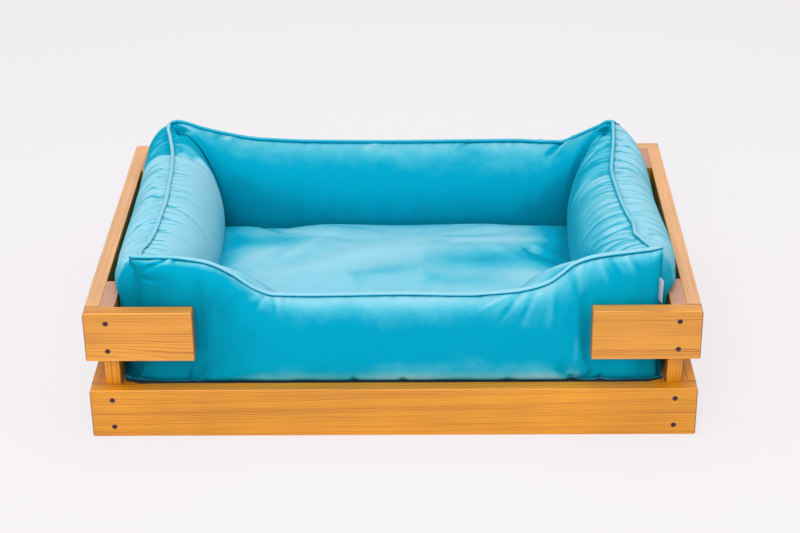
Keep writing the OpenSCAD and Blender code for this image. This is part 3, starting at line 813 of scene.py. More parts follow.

# Folds given one by one, as rows for folds: place along the wall and distance from the seam, with
# the outer panel positive
WALL_FOLDS = {
    "left": [
        (150, 2, 140, 85, 6, -5), (150, -2, 135, -100, 6, -5), (175, 2, 170, 70, 10, 3),
        (172, -2, 160, -80, 10, 3), (128, 2, 120, 90, 10, 2.5), (128, -2, 118, -110, 11, 2.5),
        (218, -3, 192, -85, 7, -7), (-60, -10, -75, -120, 5, -1.2), (-150, 10, -190, 80, 5, -2.5),
    ],
    "right": [
        (69, -1, 60, -100, 5, -6), (69, 1, 75, 95, 5, -6), (88, -2, 85, -85, 10, 2.8),
        (50, -2, 40, -95, 10, 2.2), (135, 2, 120, 60, 5, -3), (180, 4, 150, 80, 6, -3),
        (214, -3, 180, -90, 8, -7), (170, -4, 120, -85, 6, -3), (-128, -2, -150, -60, 6, -3.4),
        (-160, 2, -140, 60, 6, -3.4), (-85, 2, -60, 70, 5, -3), (-178, 2, -120, 75, 6, -3.2),
        (-178, -2, -150, -100, 5, -2), (-182, -2, -185, -100, 5, -1.8),
        (-200, -2, -222, -90, 5, -1.8), (-195, 4, -215, 70, 5, -3),
    ],
    "front": [
        (-185, 6, -205, 50, 4, -0.9), (-172, 6, -168, 42, 4, -0.8), (-196, 12, -236, 52, 5, -1),
        (-326, 4, -368, 26, 4, -3.4), (-318, 2, -362, 14, 6, 2.8), (-376, 34, -335, 40, 3.5, -2.2),
        (-301, 206, -298, 170, 3, -4), (180, 4, 120, 34, 4, 0.8), (192, 4, 150, 56, 5, -0.9),
        (212, 4, 180, 70, 6, -0.9), (236, 6, 232, 90, 6, 0.7), (262, 4, 275, 70, 6, -1.1),
        (300, 4, 322, 55, 5, 1.1), (318, 4, 345, 60, 5, -1.3), (340, 4, 362, 52, 5, 1.1),
        (268, 205, 240, 130, 6, -3.5), (-290, 215, -280, 165, 5, -2.8),
        (288, 190, 262, 110, 8, 2.6), (-160, 205, -150, 165, 7, -2), (-40, 205, -48, 168, 6, -2.2),
        (30, 205, 22, 160, 8, -1.8), (120, 205, 132, 165, 6, -2.2), (185, 205, 178, 160, 7, -2.4),
    ],
    "back": [
        (283, 0, 250, -50, 6, -5), (292, -2, 258, -70, 9, 3), (255, 2, 230, 45, 8, 3),
        (300, 2, 290, 60, 8, 3), (-290, -4, -300, -45, 7, -1.4), (-275, -4, -280, -40, 6, 1.4),
        (-50, -10, 60, -70, 18, 1.8), (110, -8, 180, -60, 16, -1.8),
    ],
}


def wall_folds(wall):
    """The gathers of a wall, and then its listed folds."""
    return sum((gathers(*row) for row in GATHERS[wall]), []) + WALL_FOLDS[wall]


def fold_shading(wall, turned, height):
    """Painted light and shade of folds: pale on the flank that faces the front or the left, dark on
    the other, pale on a ridge and dark in a furrow. Turned is how far the folds turn the normal."""
    aside = turned[..., 0 if is_long(wall) else 1]
    strength = {"left": 1.0, "right": 0.8}.get(wall, 0.7)
    palest = 0.22 if wall == "right" else 0.40
    return np.clip(strength * (-2.1 * aside + 160.0 * height), -1.2, palest)


# Where the pale pile ends along the left wall's outside and turns duller along the right wall,
# as turned pile and painted shade
LEFT_CREASE = (0.140, 0.156)
RIGHT_CREASE = (0.062, 0.078)

# Middle and half width of the painted shadow beside each short board
BESIDE_BOARD, BESIDE_BOARD_WIDTH = 0.283, 0.009


def wall_brush_and_shading(wall, along, distance, rise):
    """Tones of the pile, panel by panel: partly turned pile and partly painted light and shade.

    The side walls are pale, but dark past the crease of the left wall's rear peak and duller
    behind the right wall's crease. The back wall's inner panel is dull under its seam, with painted
    shade that deepens downwards. The front wall's outer panel is pale along its foot, with painted
    shade on the shoulders and painted shadow beside the short boards.
    """
    # Tones below are partly turned pile and partly painted light and shade
    if wall == "left":
        waver = 0.004 * np.sin(55 * distance) * (distance > 0) + 0.003 * np.sin(130 * distance + 1)
        low = 0.50 * ease(0.02, 0.09, -distance)
        return 0.24 + low - (1.15 + low) * ease(*LEFT_CREASE, along + waver)
    if wall == "right":
        waver = 0.005 * np.sin(60 * distance + 2)
        rear = ease(*RIGHT_CREASE, along + waver)
        return np.where(distance > 0, 0.42 - 0.15 * rear, -0.14 - 0.41 * rear)
    if wall == "back":
        return np.where(distance < 0, -0.28 - 0.36 * ease(0.012, 0.055, -distance), 0.0)
    from_middle = np.abs(along)
    foot = (1 - ease(0.012, 0.050, rise)) * (0.75 + 0.25 * np.sin(31 * along + 1))
    open_part = 1 - ease(FRONT_BOARD_LOW.x - 0.03, FRONT_BOARD_LOW.x + 0.01, from_middle)
    # Painted shade on the shoulders
    shoulder = 1.3 * (1 - ease(-0.29, -0.11, along)) + 0.25 * ease(0.22, 0.32, along)
    hem = 0.75 * (1 - ease(0.004, 0.026, rise))
    # Painted shadow beside each short board
    beside = 0.55 * bell(from_middle - BESIDE_BOARD, BESIDE_BOARD_WIDTH)
    beside = beside * (1 - ease(0.10, 0.13, rise))
    outer = (0.60 * foot + hem) * open_part - 0.62 * shoulder * ease(0.0, 0.02, distance) - beside
    return -0.06 + np.where(distance > 0, outer, 0.08)


# A place on the edge of the left front corner's painted shade, and how steeply that edge falls
SHADE_X, SHADE_Z, SHADE_FALL = -0.3963, 0.2486, 2.1


def painted_corner_shade(wall, points, normals, rise):
    """Painted shade on the sides of the front corners, at the left under a line that falls from the
    piping's tip, low beside the rails, and by the posts."""
    x, y, z = points[..., 0], points[..., 1], points[..., 2]
    from_middle = np.abs(x)
    under = ease(-0.006, 0.006, SHADE_Z + (x - SHADE_X) * SHADE_FALL - z)
    front = ease(0.0, 0.7, -normals[..., 1]) * (y < -0.2)
    front = front * {"left": 0.9 * under, "right": 0.45}.get(wall, 0.0)
    beside_rail = ease(0.385, 0.400, from_middle) * (1 - ease(0.095, 0.130, rise))
    by_post = ease(0.330, 0.402, from_middle) * (1 - ease(0.030, 0.075, rise)) * (y < -0.24)
    return front + 0.7 * beside_rail + 1.3 * by_post


def wall_reach(wall, points):
    """How far the cloth simulation may move each place: least on the back wall, by the upright
    seams and beside the short boards, and on inner panels that fall steeply or meet the seat."""
    if wall == "back":
        return 0.004
    near_seams = ease(0.0, 0.070, from_ends(points, OUTER_ROWS))[..., None]
    reach = (0.002 + 0.008 * near_seams) * np.ones(points.shape[:2] + (1,))
    if wall == "front":
        reach *= 1 - 0.8 * bell(np.abs(points[..., :1]) - 0.287, 0.014)
        reach[:, OUTER_ROWS:] = 0.003
        return reach
    inner = np.arange(points.shape[1])[None, :, None] > OUTER_ROWS
    reach = np.where(inner & (points[..., 2:] < SEAT_HIGH.z + 0.015), 0.002, reach)
    return reach if wall == "right" else np.where(inner, reach, 0.5 * reach)


# Where the long walls' seams bend: place along the wall, half width, and strength
SEAM_BENDS = {"front": [(0.225, 0.06, 1.0), (-0.205, 0.05, 0.8)],
              "back": [(0.285, 0.03, 1.0), (-0.31, 0.05, 0.5)]}


def wall_spare(wall, points):
    """How much spare cloth each place of a wall has, as a share of its length: most where the
    seam of a long wall bends, and in slow waves along a side wall."""
    x, y = points[..., 0], points[..., 1]
    if not is_long(wall):
        start = 0.7 if wall == "left" else 2.1
        return sizes().side_gathers * (0.8 + 0.2 * np.sin(19 * y + start))
    bend = sum(strength * bell(x - place, width) for place, width, strength in SEAM_BENDS[wall])
    even, bent = (0.3, 2.6) if wall == "front" else (0.1, 1.6)
    return sizes().long_gathers * (even + bent * bend)


# Stations along a long wall and along a side wall, before its grid is refined
LONG_STATIONS, SIDE_STATIONS = 97, 85

# How often a grid is refined after the simulation, and how many steps one step becomes
REFININGS = 2
FINER = 2**REFININGS

# The lowest part of a wall, which the simulation leaves where it is
HELD_FOOT = 0.003


def relaxed_wall(wall):
    """The drawn wall after its cloth has come to rest, on a finer grid."""
    drawn = frame_limit(drawn_wall(wall, LONG_STATIONS if is_long(wall) else SIDE_STATIONS))
    held = drawn[..., 2] - WALL_FOOT < HELD_FOOT
    held[[0, -1]] = True
    held[:, OUTER_ROWS] = True
    rest = settle(drawn, tube_faces(*drawn.shape[:2]), cut_cloth(drawn, wall), held,
                  wall_reach(wall, drawn), frame_limit,
                  frames=18, pressure=1.2, tension=20.0, bending=0.05)
    points = drawn + soften(rest - drawn, 2)
    for _ in range(REFININGS):
        points = refine(points, True)
    return points


def build_wall(wall, material):
    """A stuffed wall: relaxed, folded along its normals, grooved at its ends and tucked in."""
    points = relaxed_wall(wall)
    seam_row, last_row = FINER * OUTER_ROWS, FINER * (OUTER_ROWS + INNER_ROWS)
    along = points[..., 0 if is_long(wall) else 1]
    distance = from_seam(points, seam_row, last_row)
    ends = from_ends(points, seam_row)
    height = folds(along, distance, wall_folds(wall)) * MM * ease(0.0, 0.012, ends)
    height = height * ease(0.001, 0.008, points[..., 2] - WALL_FOOT)
    smooth = outward(points)
    dent = corner_dent(points, distance, ends)
    points = frame_limit(points + smooth * (height[..., None] - dent[..., None]))
    points = tuck_foot(wall, points)
    points[..., 2] = np.maximum(points[..., 2], WALL_FOOT)
    turned = outward(points) - smooth
    piece = new_piece(f"wall_{wall}_velour", points, tube_faces(*points.shape[:2]), "bed",
                      material, [f"wall_{wall}"])
    rise = points[..., 2] - WALL_FOOT
    # Painted shade in the corner grooves, along the top seam, at the front corners, beside the
    # rails and by the posts
    brush = (wall_brush_and_shading(wall, along, distance, rise) + fold_shading(wall, turned, height)
             - np.where(distance > 0, 700.0, 75.0) * dent - 0.9 * bell(distance, 0.0045))
    set_brush_and_shading(piece, np.maximum(brush, -0.95) - painted_corner_shade(wall, points, smooth, rise))
    return piece


def build_piping(wall, material):
    """A tube along a wall's top seam, drawn to a round point at both ends. Its top is pale and its
    sides and underside darker, as painted highlight and shade."""
    stations = 170 if is_long(wall) else 120
    plan, height = wall_line(wall, "seam", np.linspace(0, 1, stations))
    radius = sizes().piping / 2
    path = np.column_stack([plan, height + (0.80 if wall == "front" else 0.65) * radius])
    along = running_length(path)
    near = np.minimum(along, along[-1] - along)
    taper = np.sqrt(np.clip(1 - (1 - np.clip(near / radius, 0, 1)) ** 2, 0.05, 1))
    _, across, up = directions(path)
    rings = tube(path, across, up, radius * taper)
    piece = new_piece(f"piping_{wall}_tube", rings, tube_faces(stations, rings.shape[1]), "bed",
                      material, [f"piping_{wall}"])
    x, y = path[:, 0], path[:, 1]
    # Painted light and shade along each piping, darkest on the back one
    brush = {"front": 0.45 - 0.95 * (1 - ease(-0.33, -0.27, x)), "back": np.full(stations, -0.95),
             "left": 0.45 - 0.85 * ease(0.13, 0.15, y),
             "right": 0.10 - 0.75 * ease(-0.20, -0.12, y)}
    # Painted shade on the sides and underside of the tube, its top left pale as painted highlight
    turned = (rings[..., 2] - path[:, None, 2]) / radius
    under = np.maximum(0.35 - turned, 0) * {"front": 2.0, "back": 0.4}.get(wall, 1.0)
    set_brush_and_shading(piece, (brush[wall][:, None] - under).ravel())
    return piece


# Operators: one for each piece or group of like pieces, and one for the stage

class SofaBedStage(bpy.types.Operator):
    """Makes the floor, the lights and the camera of the photograph."""

    bl_idname = "sofa_bed.stage"
    bl_label = "Stage"

    # Place, size and power of each lamp, and the point that they light
    lamps = {"key": ((0.10, 0.0, 2.6), 2.6, 34.0), "fill": ((-0.5, -2.9, 2.3), 1.8, 60.0)}
    lit_point = Vector((0, 0, 0.1))

    # The camera found from the frame's corners in the photograph: its lens in mm, its yaw, pitch
    # and roll in degrees, and its place
    lens = 85.48
    angles = (-0.871, 27.573, -0.671)
    standpoint = (0.04896, -2.70311, 1.54023)

    # Colour and strength of the sky's light, and the colour that the camera sees of it
    sky_light, sky_strength = (1.0, 0.99, 1.0, 1.0), 0.52
    sky_shown = (0.92, 0.90, 0.92, 1.0)

    # How far the floor reaches, and the share of its own colour that the camera sees of it
    floor_reach = 14.0
    floor_glow = 0.8

    def execute(self, context):
        scene = context.scene
        scene.view_settings.view_transform = "Standard"
        material, shader, place = new_material("floor")
        finish_shader(shader, place, Base_Color=rgba(colours().floor), Roughness=0.9,
                      Specular_IOR_Level=0.1)
        self.show_bright(place, shader)
        mesh = bpy.data.meshes.new("floor")
        reach = self.floor_reach
        mesh.from_pydata([(-reach, -reach, 0), (reach, -reach, 0), (reach, reach, 0),
                          (-reach, reach, 0)], [], [(0, 1, 2, 3)])
        floor = bpy.data.objects.new("floor", mesh)
        scene.collection.objects.link(floor)
        mesh.materials.append(material)
        self.light_world(scene)
        for name, lamp in self.lamps.items():
            self.add_lamp(scene, name, *lamp)
        self.add_camera(scene)
        return {"FINISHED"}

    def show_bright(self, place, shader):
        """To the camera the floor is mostly its own pale colour, and keeps a thin shadow."""
        tree = place.tree
        glow = place.add("ShaderNodeEmission", {}, {"Color": rgba(colours().floor)})
        share = self.seen_directly(tree) * self.floor_glow
        mix = place.add("ShaderNodeMixShader", {},
                        {0: share, 1: Wire(tree, shader.outputs[0]), 2: glow})
        tree.links.new(mix.socket, tree.nodes["Material Output"].inputs["Surface"])

    def seen_directly(self, tree):
        """1 for what the camera sees, straight, in a gloss or through glass."""
        rays = tree.nodes.new("ShaderNodeLightPath")
        camera, glossy, through = (Wire(tree, rays.outputs[f"Is {kind} Ray"])
                                   for kind in ("Camera", "Glossy", "Transmission"))
        return camera.maths("MAXIMUM", camera.maths("MAXIMUM", camera, glossy), through)

    def light_world(self, scene):
        """An even white sky that lights the object, and shows a shade darker to the camera."""
        world = bpy.data.worlds.new("sky")
        scene.world = world
        world.use_nodes = True
        tree = world.node_tree
        sky = tree.nodes["Background"]
        sky.inputs["Color"].default_value = self.sky_light
        sky.inputs["Strength"].default_value = self.sky_strength
        shown = tree.nodes.new("ShaderNodeBackground")
        shown.inputs["Color"].default_value = self.sky_shown
        share = self.seen_directly(tree)
        mix = share.add("ShaderNodeMixShader", {}, {0: share, 1: Wire(tree, sky.outputs[0]),
                                                    2: Wire(tree, shown.outputs[0])})
        tree.links.new(mix.socket, tree.nodes["World Output"].inputs["Surface"])

    def add_lamp(self, scene, name, place, size, power):
        """A square lamp that faces the lit point."""
        lamp = bpy.data.lights.new(name, "AREA")
        lamp.size = size
        lamp.energy = power
        light = bpy.data.objects.new(name, lamp)
        light.location = place
        facing = (self.lit_point - Vector(place)).to_track_quat("-Z", "Y")
        light.rotation_euler = facing.to_euler()
        scene.collection.objects.link(light)

    def add_camera(self, scene):
        """The photograph's camera. It looks forward, and its right and top are rolled."""
        camera = bpy.data.cameras.new("camera")
        camera.sensor_width = 36.0
        camera.lens = self.lens
        view = bpy.data.objects.new("camera", camera)
        yaw, pitch, roll = (math.radians(value) for value in self.angles)
        forward = Vector((math.sin(yaw) * math.cos(pitch), math.cos(yaw) * math.cos(pitch),
                          -math.sin(pitch)))
        right = Vector((math.cos(yaw), -math.sin(yaw), 0))
        top = right.cross(forward)
        turned_right = right * math.cos(roll) + top * math.sin(roll)
        turned_top = top * math.cos(roll) - right * math.sin(roll)
        turned = Matrix((turned_right, turned_top, -forward)).transposed()
        view.rotation_euler = turned.to_euler()
        view.location = self.standpoint
        scene.collection.objects.link(view)
        scene.camera = view


# Which axes run along, across and through a piece of wood, by its grain
GRAINS = {"x": "xzy", "y": "yzx", "z": "zyx", "slat": "yxz"}

# Across a growth ring: a place in it, and the share of late wood there
RING_STOPS = [(0.0, 0.10), (0.45, 0.18), (0.86, 1.0), (0.97, 0.25)]

# Distances from a piece's end and from its long edges over which end grain and wear fade
END_FADE = (0.0022, 0.0006)
WORN_FADE = (0.001, 0.0035)

# How far a face has to turn up, or in, to count as a top or an inner face
FACING = (0.6, 0.95)


def pine(node, grain, seed, heart, tilt, end_shade, sky_sheen=0.0, paler=0.0):
    """Stained pine: growth rings round a heart that lies beside the board, and fine fibres.

    The board's own coordinates run along, across and through it. A ring is where the distance
    from the heart, with some wander, passes a whole number of ring widths. Its colour darkens
    slowly outwards and then breaks off, as late wood does. Of the rails, the tops get a painted
    sky sheen and the inner faces of the side rails painted shade. The ends of boards, not of
    posts, are far darker: end grain that drinks the stain, and painted shade.
    """
    low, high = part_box(node)
    centre, half = (low + high) / 2, (high - low) / 2
    material, shader, place = new_material(f"pine_{node}", centre)
    axes = dict(zip("xyz", place.parts()))
    along, across, through = (axes[axis] for axis in GRAINS[grain])
    half_along, half_across, half_through = (getattr(half, axis) for axis in GRAINS[grain])
    colour = colours()
    strength, broad = (0.7, 1.5) if paler else (1.0, 1.0)
    drift = place.noise(place.vector(along * 1.6 + seed, across * 5.0, through * 5.0), 1.0, 2.0)
    waver = place.noise(place.vector(along * 14.0, across * 30.0 + seed, through * 30.0), 1.0, 3.0)
    side = across - heart[0] - along * tilt[0] + (drift - 0.5) * 0.010
    deep = through - heart[1] - along * tilt[1]
    distance = (side * side + deep * deep) ** 0.5 + (waver - 0.5) * 0.0034
    rings = distance / sizes().ring_width
    step = rings.maths("FRACT", rings)
    ring = step.add("ShaderNodeValToRGB", {"stops": RING_STOPS}, {"Fac": step})
    odd = step.add("ShaderNodeTexWhiteNoise", {"noise_dimensions": "1D"},
                   {"W": rings.maths("FLOOR", rings) + seed})
    fibre = place.noise(place.vector(along * 5.0, across * 330.0, through * 330.0), 1.0, 3.0, 0.7)
    streak = place.noise(place.vector(along * 2.0 + seed, across * 60.0, through * 60.0), 1.0, 2.0)
    stain = place.noise(place, 6.0, 3.0)
    share = (ring * (0.50 + odd * 0.75) * strength + (fibre - 0.5) * 1.3
             + (streak - 0.5) * broad - 0.12)
    early = place.blend(paler, rgba(colour.pine_early), rgba(colour.pine_pale_and_sky_sheen))
    late = rgba(colour.pine_late)
    painted_inner_shade = 0.0
    # Painted sky sheen on the tops of the rails
    if sky_sheen:
        geometry = place.tree.nodes.new("ShaderNodeNewGeometry")
        facing = Wire(place.tree, geometry.outputs["Normal"]).parts()
        up = facing[2].ease(*FACING) * sky_sheen
        early = place.blend(up, early, rgba(colour.pine_pale_and_sky_sheen))
        late = place.blend(up, late, rgba([0.55 * value for value in colour.pine_pale_and_sky_sheen]))
        # Painted shade on the inner faces of the side rails
        painted_inner_shade = (facing[0] * -np.sign(centre.x)).ease(*FACING) if grain == "y" else 0.0
    wood = place.blend(share.ease(-0.15, 1.20), early, late)
    ends = along.maths("ABSOLUTE", along).ease(*(half_along - inset for inset in END_FADE))
    # Ends of boards far darker than ends of posts: end grain that drinks the stain, and painted
    # shade
    end_colour = colour.pine_end if grain == "z" else [0.28 * value for value in colour.pine_end]
    wood = place.blend(ends * (0.25 + end_shade), wood, rgba(end_colour))
    gap_across = half_across - across.maths("ABSOLUTE", across)
    gap_through = half_through - through.maths("ABSOLUTE", through)
    worn = 1 - (gap_across + gap_through).ease(*WORN_FADE)
    wood = place.tint(wood, (0.885 + (stain - 0.5) * 0.44 + worn * 0.10) * (1 - painted_inner_shade * 0.5))
    finish_shader(shader, place, Base_Color=wood, Roughness=0.38 + fibre * 0.16 + ends * 0.2,
                  Bump=(ring * 0.4 + fibre * 0.8, 0.35 * MM), Coat_Weight=0.5, Coat_Roughness=0.38,
                  Specular_IOR_Level=0.35)
    return material


# Grain of each wooden node: its direction, the heart beside the board, and the heart's tilt
BOARDS = {
    "lower_front_board": ("x", (0.105, 0.040), (0.016, 0.012)),
    "lower_back_board": ("x", (-0.100, 0.050), (0.015, -0.012)),
    "lower_left_board": ("y", (0.095, -0.050), (0.018, 0.012)),
    "lower_right_board": ("y", (-0.105, 0.045), (0.010, 0.015)),
    "upper_front_left_board": ("x", (-0.048, 0.050), (0.040, 0.040)),
    "upper_front_right_board": ("x", (-0.090, 0.050), (0.030, 0.020)),
    "upper_back_board": ("x", (0.095, 0.055), (-0.012, 0.020)),
    "upper_left_board": ("y", (0.090, -0.060), (0.012, 0.020)),
    "upper_right_board": ("y", (0.090, 0.070), (-0.015, 0.018)),
    "post_front_left": ("z", (0.030, 0.030), (0.020, 0.020)),
    "post_front_right": ("z", (-0.030, 0.035), (0.020, 0.020)),
    "post_back_left": ("z", (0.025, -0.040), (0.020, 0.020)),
    "post_back_right": ("z", (-0.020, -0.030), (0.020, 0.020)),
    "front_cleat": ("x", (0.030, 0.040), (0.010, 0.010)),
    "back_cleat": ("x", (-0.030, 0.040), (0.010, 0.010)),
}


class SofaBedWood(bpy.types.Operator):
    """Gives every board, post, cleat and slat its own pine."""

    bl_idname = "sofa_bed.wood"
    bl_label = "Pine boards"

    rails = ("upper_left_board", "upper_right_board", "upper_back_board")

    def execute(self, context):
        for number, (node, (grain, heart, tilt)) in enumerate(BOARDS.items()):
            end_shade = 0.65 if grain == "z" else 0.45
            # Painted sky sheen on the tops of the rails
            sky_sheen = 0.85 if node in self.rails else 0.0
            paler = 0.12 if node.startswith("upper_front") else 0.0
            dress(node, pine(node, grain, 3.7 * number, heart, tilt, end_shade, sky_sheen, paler))
        slats = sorted(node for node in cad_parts
                       if node.startswith("slat_") and node != "slat_screws")
        for number, node in enumerate(slats):
            heart = (0.03 * math.sin(2.1 * number), 0.05)
            tilt = (0.012, 0.02 * math.cos(1.7 * number))
            dress(node, pine(node, "slat", 60 + 2.9 * number, heart, tilt, 0.2))
        return {"FINISHED"}


class SofaBedScrews(bpy.types.Operator):
    """Gives the screws and the zips' sliders their bronzed steel."""

    bl_idname = "sofa_bed.screws"
    bl_label = "Screws"

    def execute(self, context):
        material, shader, place = new_material("bronzed_steel")
        mottle = place.noise(place, 600.0, 3.0)
        colour = place.tint(rgba(colours().screw), 0.7 + mottle * 0.6)
        finish_shader(shader, place, Base_Color=colour, Roughness=0.34 + mottle * 0.2,
                      Metallic=0.9, Bump=(mottle, 0.1 * MM))
        for node in ("front_screws", "back_screws", "left_screws", "right_screws", "cleat_screws",
                     "slat_screws", "wall_zip_slider", "seat_zip_slider"):
            dress(node, material)
        return {"FINISHED"}


class SofaBedWalls(bpy.types.Operator):
    """Builds the four stuffed walls in velour, gathered along their seams."""

    bl_idname = "sofa_bed.walls"
    bl_label = "Stuffed walls"

    def execute(self, context):
        for seed, wall in enumerate(WALLS):
            nap = 0.85 if is_long(wall) else 1.0
            build_wall(wall, velour(f"velour_{wall}", seed, nap=nap))
        return {"FINISHED"}


class SofaBedPiping(bpy.types.Operator):
    """Lays the piping along the top seams of the four walls."""

    bl_idname = "sofa_bed.piping"
    bl_label = "Piping"

    def execute(self, context):
        material = velour("velour_piping", 5, lift=0.62, nap=0.3)
        for wall in WALLS:
            build_piping(wall, material)
        return {"FINISHED"}


# Folds of the seat, as rows for folds
SEAT_FOLDS = [
    (-240, -125, 75, 90, 18, 4.8), (-275, -75, -190, 10, 14, 3), (-200, -30, -110, 100, 14, 2.2),
    (-140, -135, 120, -20, 30, 3), (20, -140, 190, -30, 26, -2.2), (210, 20, 287, -55, 10, -6.5),
    (170, 30, 262, -85, 18, 4), (-215, 140, -150, 80, 12, -6.5), (90, 55, 270, 45, 18, 2.8),
]

# How much the seat's rear edge stands over its even line, from left to right
SEAT_REAR = [(-290, -1), (-250, 0), (-200, -4), (-110, 3.5), (7, 1), (140, 3), (200, 0), (290, -2)]

# Fine creases of the seat, in the same rows
SEAT_CREASES = [
    (284, -50, 235, 10, 4, -2.6), (278, -30, 232, 22, 4, 1.8), (-180, 134, -150, 105, 5, -1.8),
]

# Strokes in the seat's pile, partly brushed pile and partly painted highlight and shade, in the
# same rows, with how pale they are in place of a height
SEAT_STROKES = [
    (-215, -85, 100, 85, 12, 0.42), (-150, -60, 160, 80, 50, 0.22), (-262, -45, -160, 40, 13, 0.3),
    (-180, -20, -90, 110, 12, 0.2), (85, 50, 320, 48, 10, 0.3), (275, -52, 170, -90, 16, 0.4),
    (-285, -80, -270, 240, 36, -0.85), (-270, 50, -110, 55, 28, -0.55),
    (-70, -85, 50, -45, 22, -0.3), (40, -85, 210, -100, 20, -0.26), (275, -10, 20, -40, 32, -0.62),
    (294, 170, 294, -220, 50, -2.1),
]


class SofaBedSeat(bpy.types.Operator):
    """Builds the loose seat cushion: two panels, crowned and crossed by soft folds."""

    bl_idname = "sofa_bed.seat"
    bl_label = "Seat cushion"

    # Points of the drawn grid along the seat and across it
    rows, columns = 73, 43

    # Half width and half depth between the walls, how much more they are at the corners, and how
    # far the middle lies behind the frame's
    half_width, corner_width = 0.2855, 0.010
    half_depth, corner_depth = 0.1495, 0.014
    middle = -0.00225

    # Heights over the cloth of the rim, the crown and the rear rim, how much lower the seam is
    # there, and the place where the crown starts to fall to the zip
    rim, crown, rear_rim, rear_drop = 0.058, 0.0705, 0.0515, 0.0065
    fall_start = 0.062

    def execute(self, context):
        material = velour("velour_seat", 9, lift=-0.02, nap=0.7)
        top, flat = self.relaxed()
        inside = self.inside(top)[..., None]
        creases = folds(top[..., 0], top[..., 1], SEAT_CREASES)[..., None] * MM
        top = top + grid_normals(top) * creases * inside
        slope = grid_normals(top) * inside
        points, faces, _ = self.join(top, flat)
        # Painted light and shade of the seat's folds: paler where the surface faces the front or
        # the left
        painted_fold_shading = np.zeros(len(points))
        painted_fold_shading[: slope[..., 0].size] = -0.45 * (slope[..., 0] + slope[..., 1]).ravel()
        piece = new_piece("seat_cushion_velour", self.limit(points), faces, "seat",
                          material, ["seat_cushion"])
        set_brush_and_shading(piece, self.brush(points[:, 0], points[:, 1]) + painted_fold_shading)
        return {"FINISHED"}

    def relaxed(self):
        """Both panels after their cloth has come to rest, on a finer grid."""
        rows, columns = self.rows, self.columns
        p, q = np.meshgrid(np.linspace(-1, 1, rows), np.linspace(-1, 1, columns), indexing="ij")
        points, faces, is_top = self.join(*self.panels(p, q))
        cut = points.copy()
        cut[:, :2] *= 1 + sizes().seat_slack * is_top[:, None]
        rim = np.ones((rows, columns), bool)
        rim[2:-2, 2:-2] = False
        held = points[:, 2] < SEAT_LOW.z + 0.001
        held[: rim.size] |= rim.ravel()
        points = settle(points, faces, cut, held, 0.005, self.limit,
                        frames=16, pressure=0.8, tension=15.0, bending=0.4)
        top = points[: rim.size].reshape(rows, columns, 3)
        flat = top.copy()
        flat[1:-1, 1:-1] = points[rim.size :].reshape(rows - 2, columns - 2, 3)
        for _ in range(REFININGS):
            top, flat = refine(top, False), refine(flat, False)
        return top, flat

    def limit(self, points):
        """The seat stays on the cloth, inside the walls, and flat along its zip."""
        points[..., 2] = np.clip(points[..., 2], SEAT_LOW.z, SEAT_HIGH.z + 0.012)
        points[..., 1] = np.clip(points[..., 1], SEAT_LOW.y - 0.002, SEAT_HIGH.y)
        return points

    def panels(self, p, q):
        """Top and bottom panels on a square grid that is drawn into a squared-off oval.

        A point's share of the way to the rim is the twentieth-power mean of its two places. The
        places and the share are drawn towards the rim by a power of 1.25. The top falls from
        the crown to the rim as one less that share to the power 7, to the power of one over 7,
        and the bottom rises to the rim over the last 6% of the way, by a quarter of a fourth
        power oval. Towards the zip the crown falls by a quarter of an oval.
        """
        longest = np.maximum(np.abs(p), np.abs(q))
        mean = (np.abs(p) ** 20 + np.abs(q) ** 20) ** (1 / 20)
        draw = 1 + (longest / np.maximum(mean, 1e-9) - 1) * longest**4
        p, q = p * draw, q * draw
        share = np.clip(mean * draw, 0, 1)
        p, q = (np.sign(v) * (1 - (1 - np.abs(v)) ** 1.25) for v in (p, q))
        width = self.half_width + self.corner_width * ease(0.3, 1, np.abs(q))
        depth = self.half_depth + self.corner_depth * ease(0.3, 1, np.abs(p))
        x = p * width
        y = self.middle + q * np.where(q > 0, SEAT_HIGH.y - self.middle, depth)
        rise = np.clip(1 - (1 - (1 - share) ** 1.25) ** 7, 0, 1) ** (1 / 7)
        behind = np.clip((y - self.fall_start) / (SEAT_HIGH.y - self.fall_start), 0, 1)
        fall = 1 - np.sqrt(1 - behind**2)
        crowned = np.minimum(self.rim + (self.crown - self.rim) * rise,
                             self.crown - (self.crown - self.rear_rim) * fall)
        rear = np.array(SEAT_REAR) * MM
        wave = smooth_line(rear, np.clip(x.ravel(), rear[0, 0], rear[-1, 0]))[:, 0].reshape(x.shape)
        waves = folds(x, y, SEAT_FOLDS) * MM + wave * ease(0.03, 0.11, y)
        top = SEAT_LOW.z + crowned + waves * ease(0.0, 0.5, rise)
        turn = np.clip((share - 0.94) / 0.06, 0, 1)
        flat = SEAT_LOW.z + (self.rim - self.rear_drop * fall) * (1 - (1 - turn**4) ** 0.25)
        return np.stack([x, y, top], 2), np.stack([x, y, flat], 2)

    def inside(self, grid):
        """0 on a grid's border, and 1 from its sixteenth row inwards."""
        rows, columns = (np.minimum(np.arange(n), np.arange(n)[::-1]) for n in grid.shape[:2])
        return ease(0, 16, np.minimum(rows[:, None], columns[None]).astype(float))

    def brush(self, x, y):
        """Strokes that are partly brushed pile and partly painted highlight and shade, with painted
        shade by the walls.
        """
        return folds(x, y, SEAT_STROKES) - 0.08 - 0.30 * ease(0.10, 0.135, y)

    def join(self, top, flat):
        """One closed mesh from two grids that share their border."""
        rows, columns = top.shape[:2]
        upper = np.arange(rows * columns).reshape(rows, columns)
        inside = np.zeros((rows, columns), bool)
        inside[1:-1, 1:-1] = True
        lower = upper.copy()
        lower[inside] = rows * columns + np.arange(inside.sum())
        points = np.concatenate([top.reshape(-1, 3), flat[inside]])
        quads = grid_faces(upper).tolist() + grid_faces(lower)[:, ::-1].tolist()
        is_top = np.concatenate([np.ones(rows * columns), np.zeros(inside.sum())])
        return points, quads, is_top


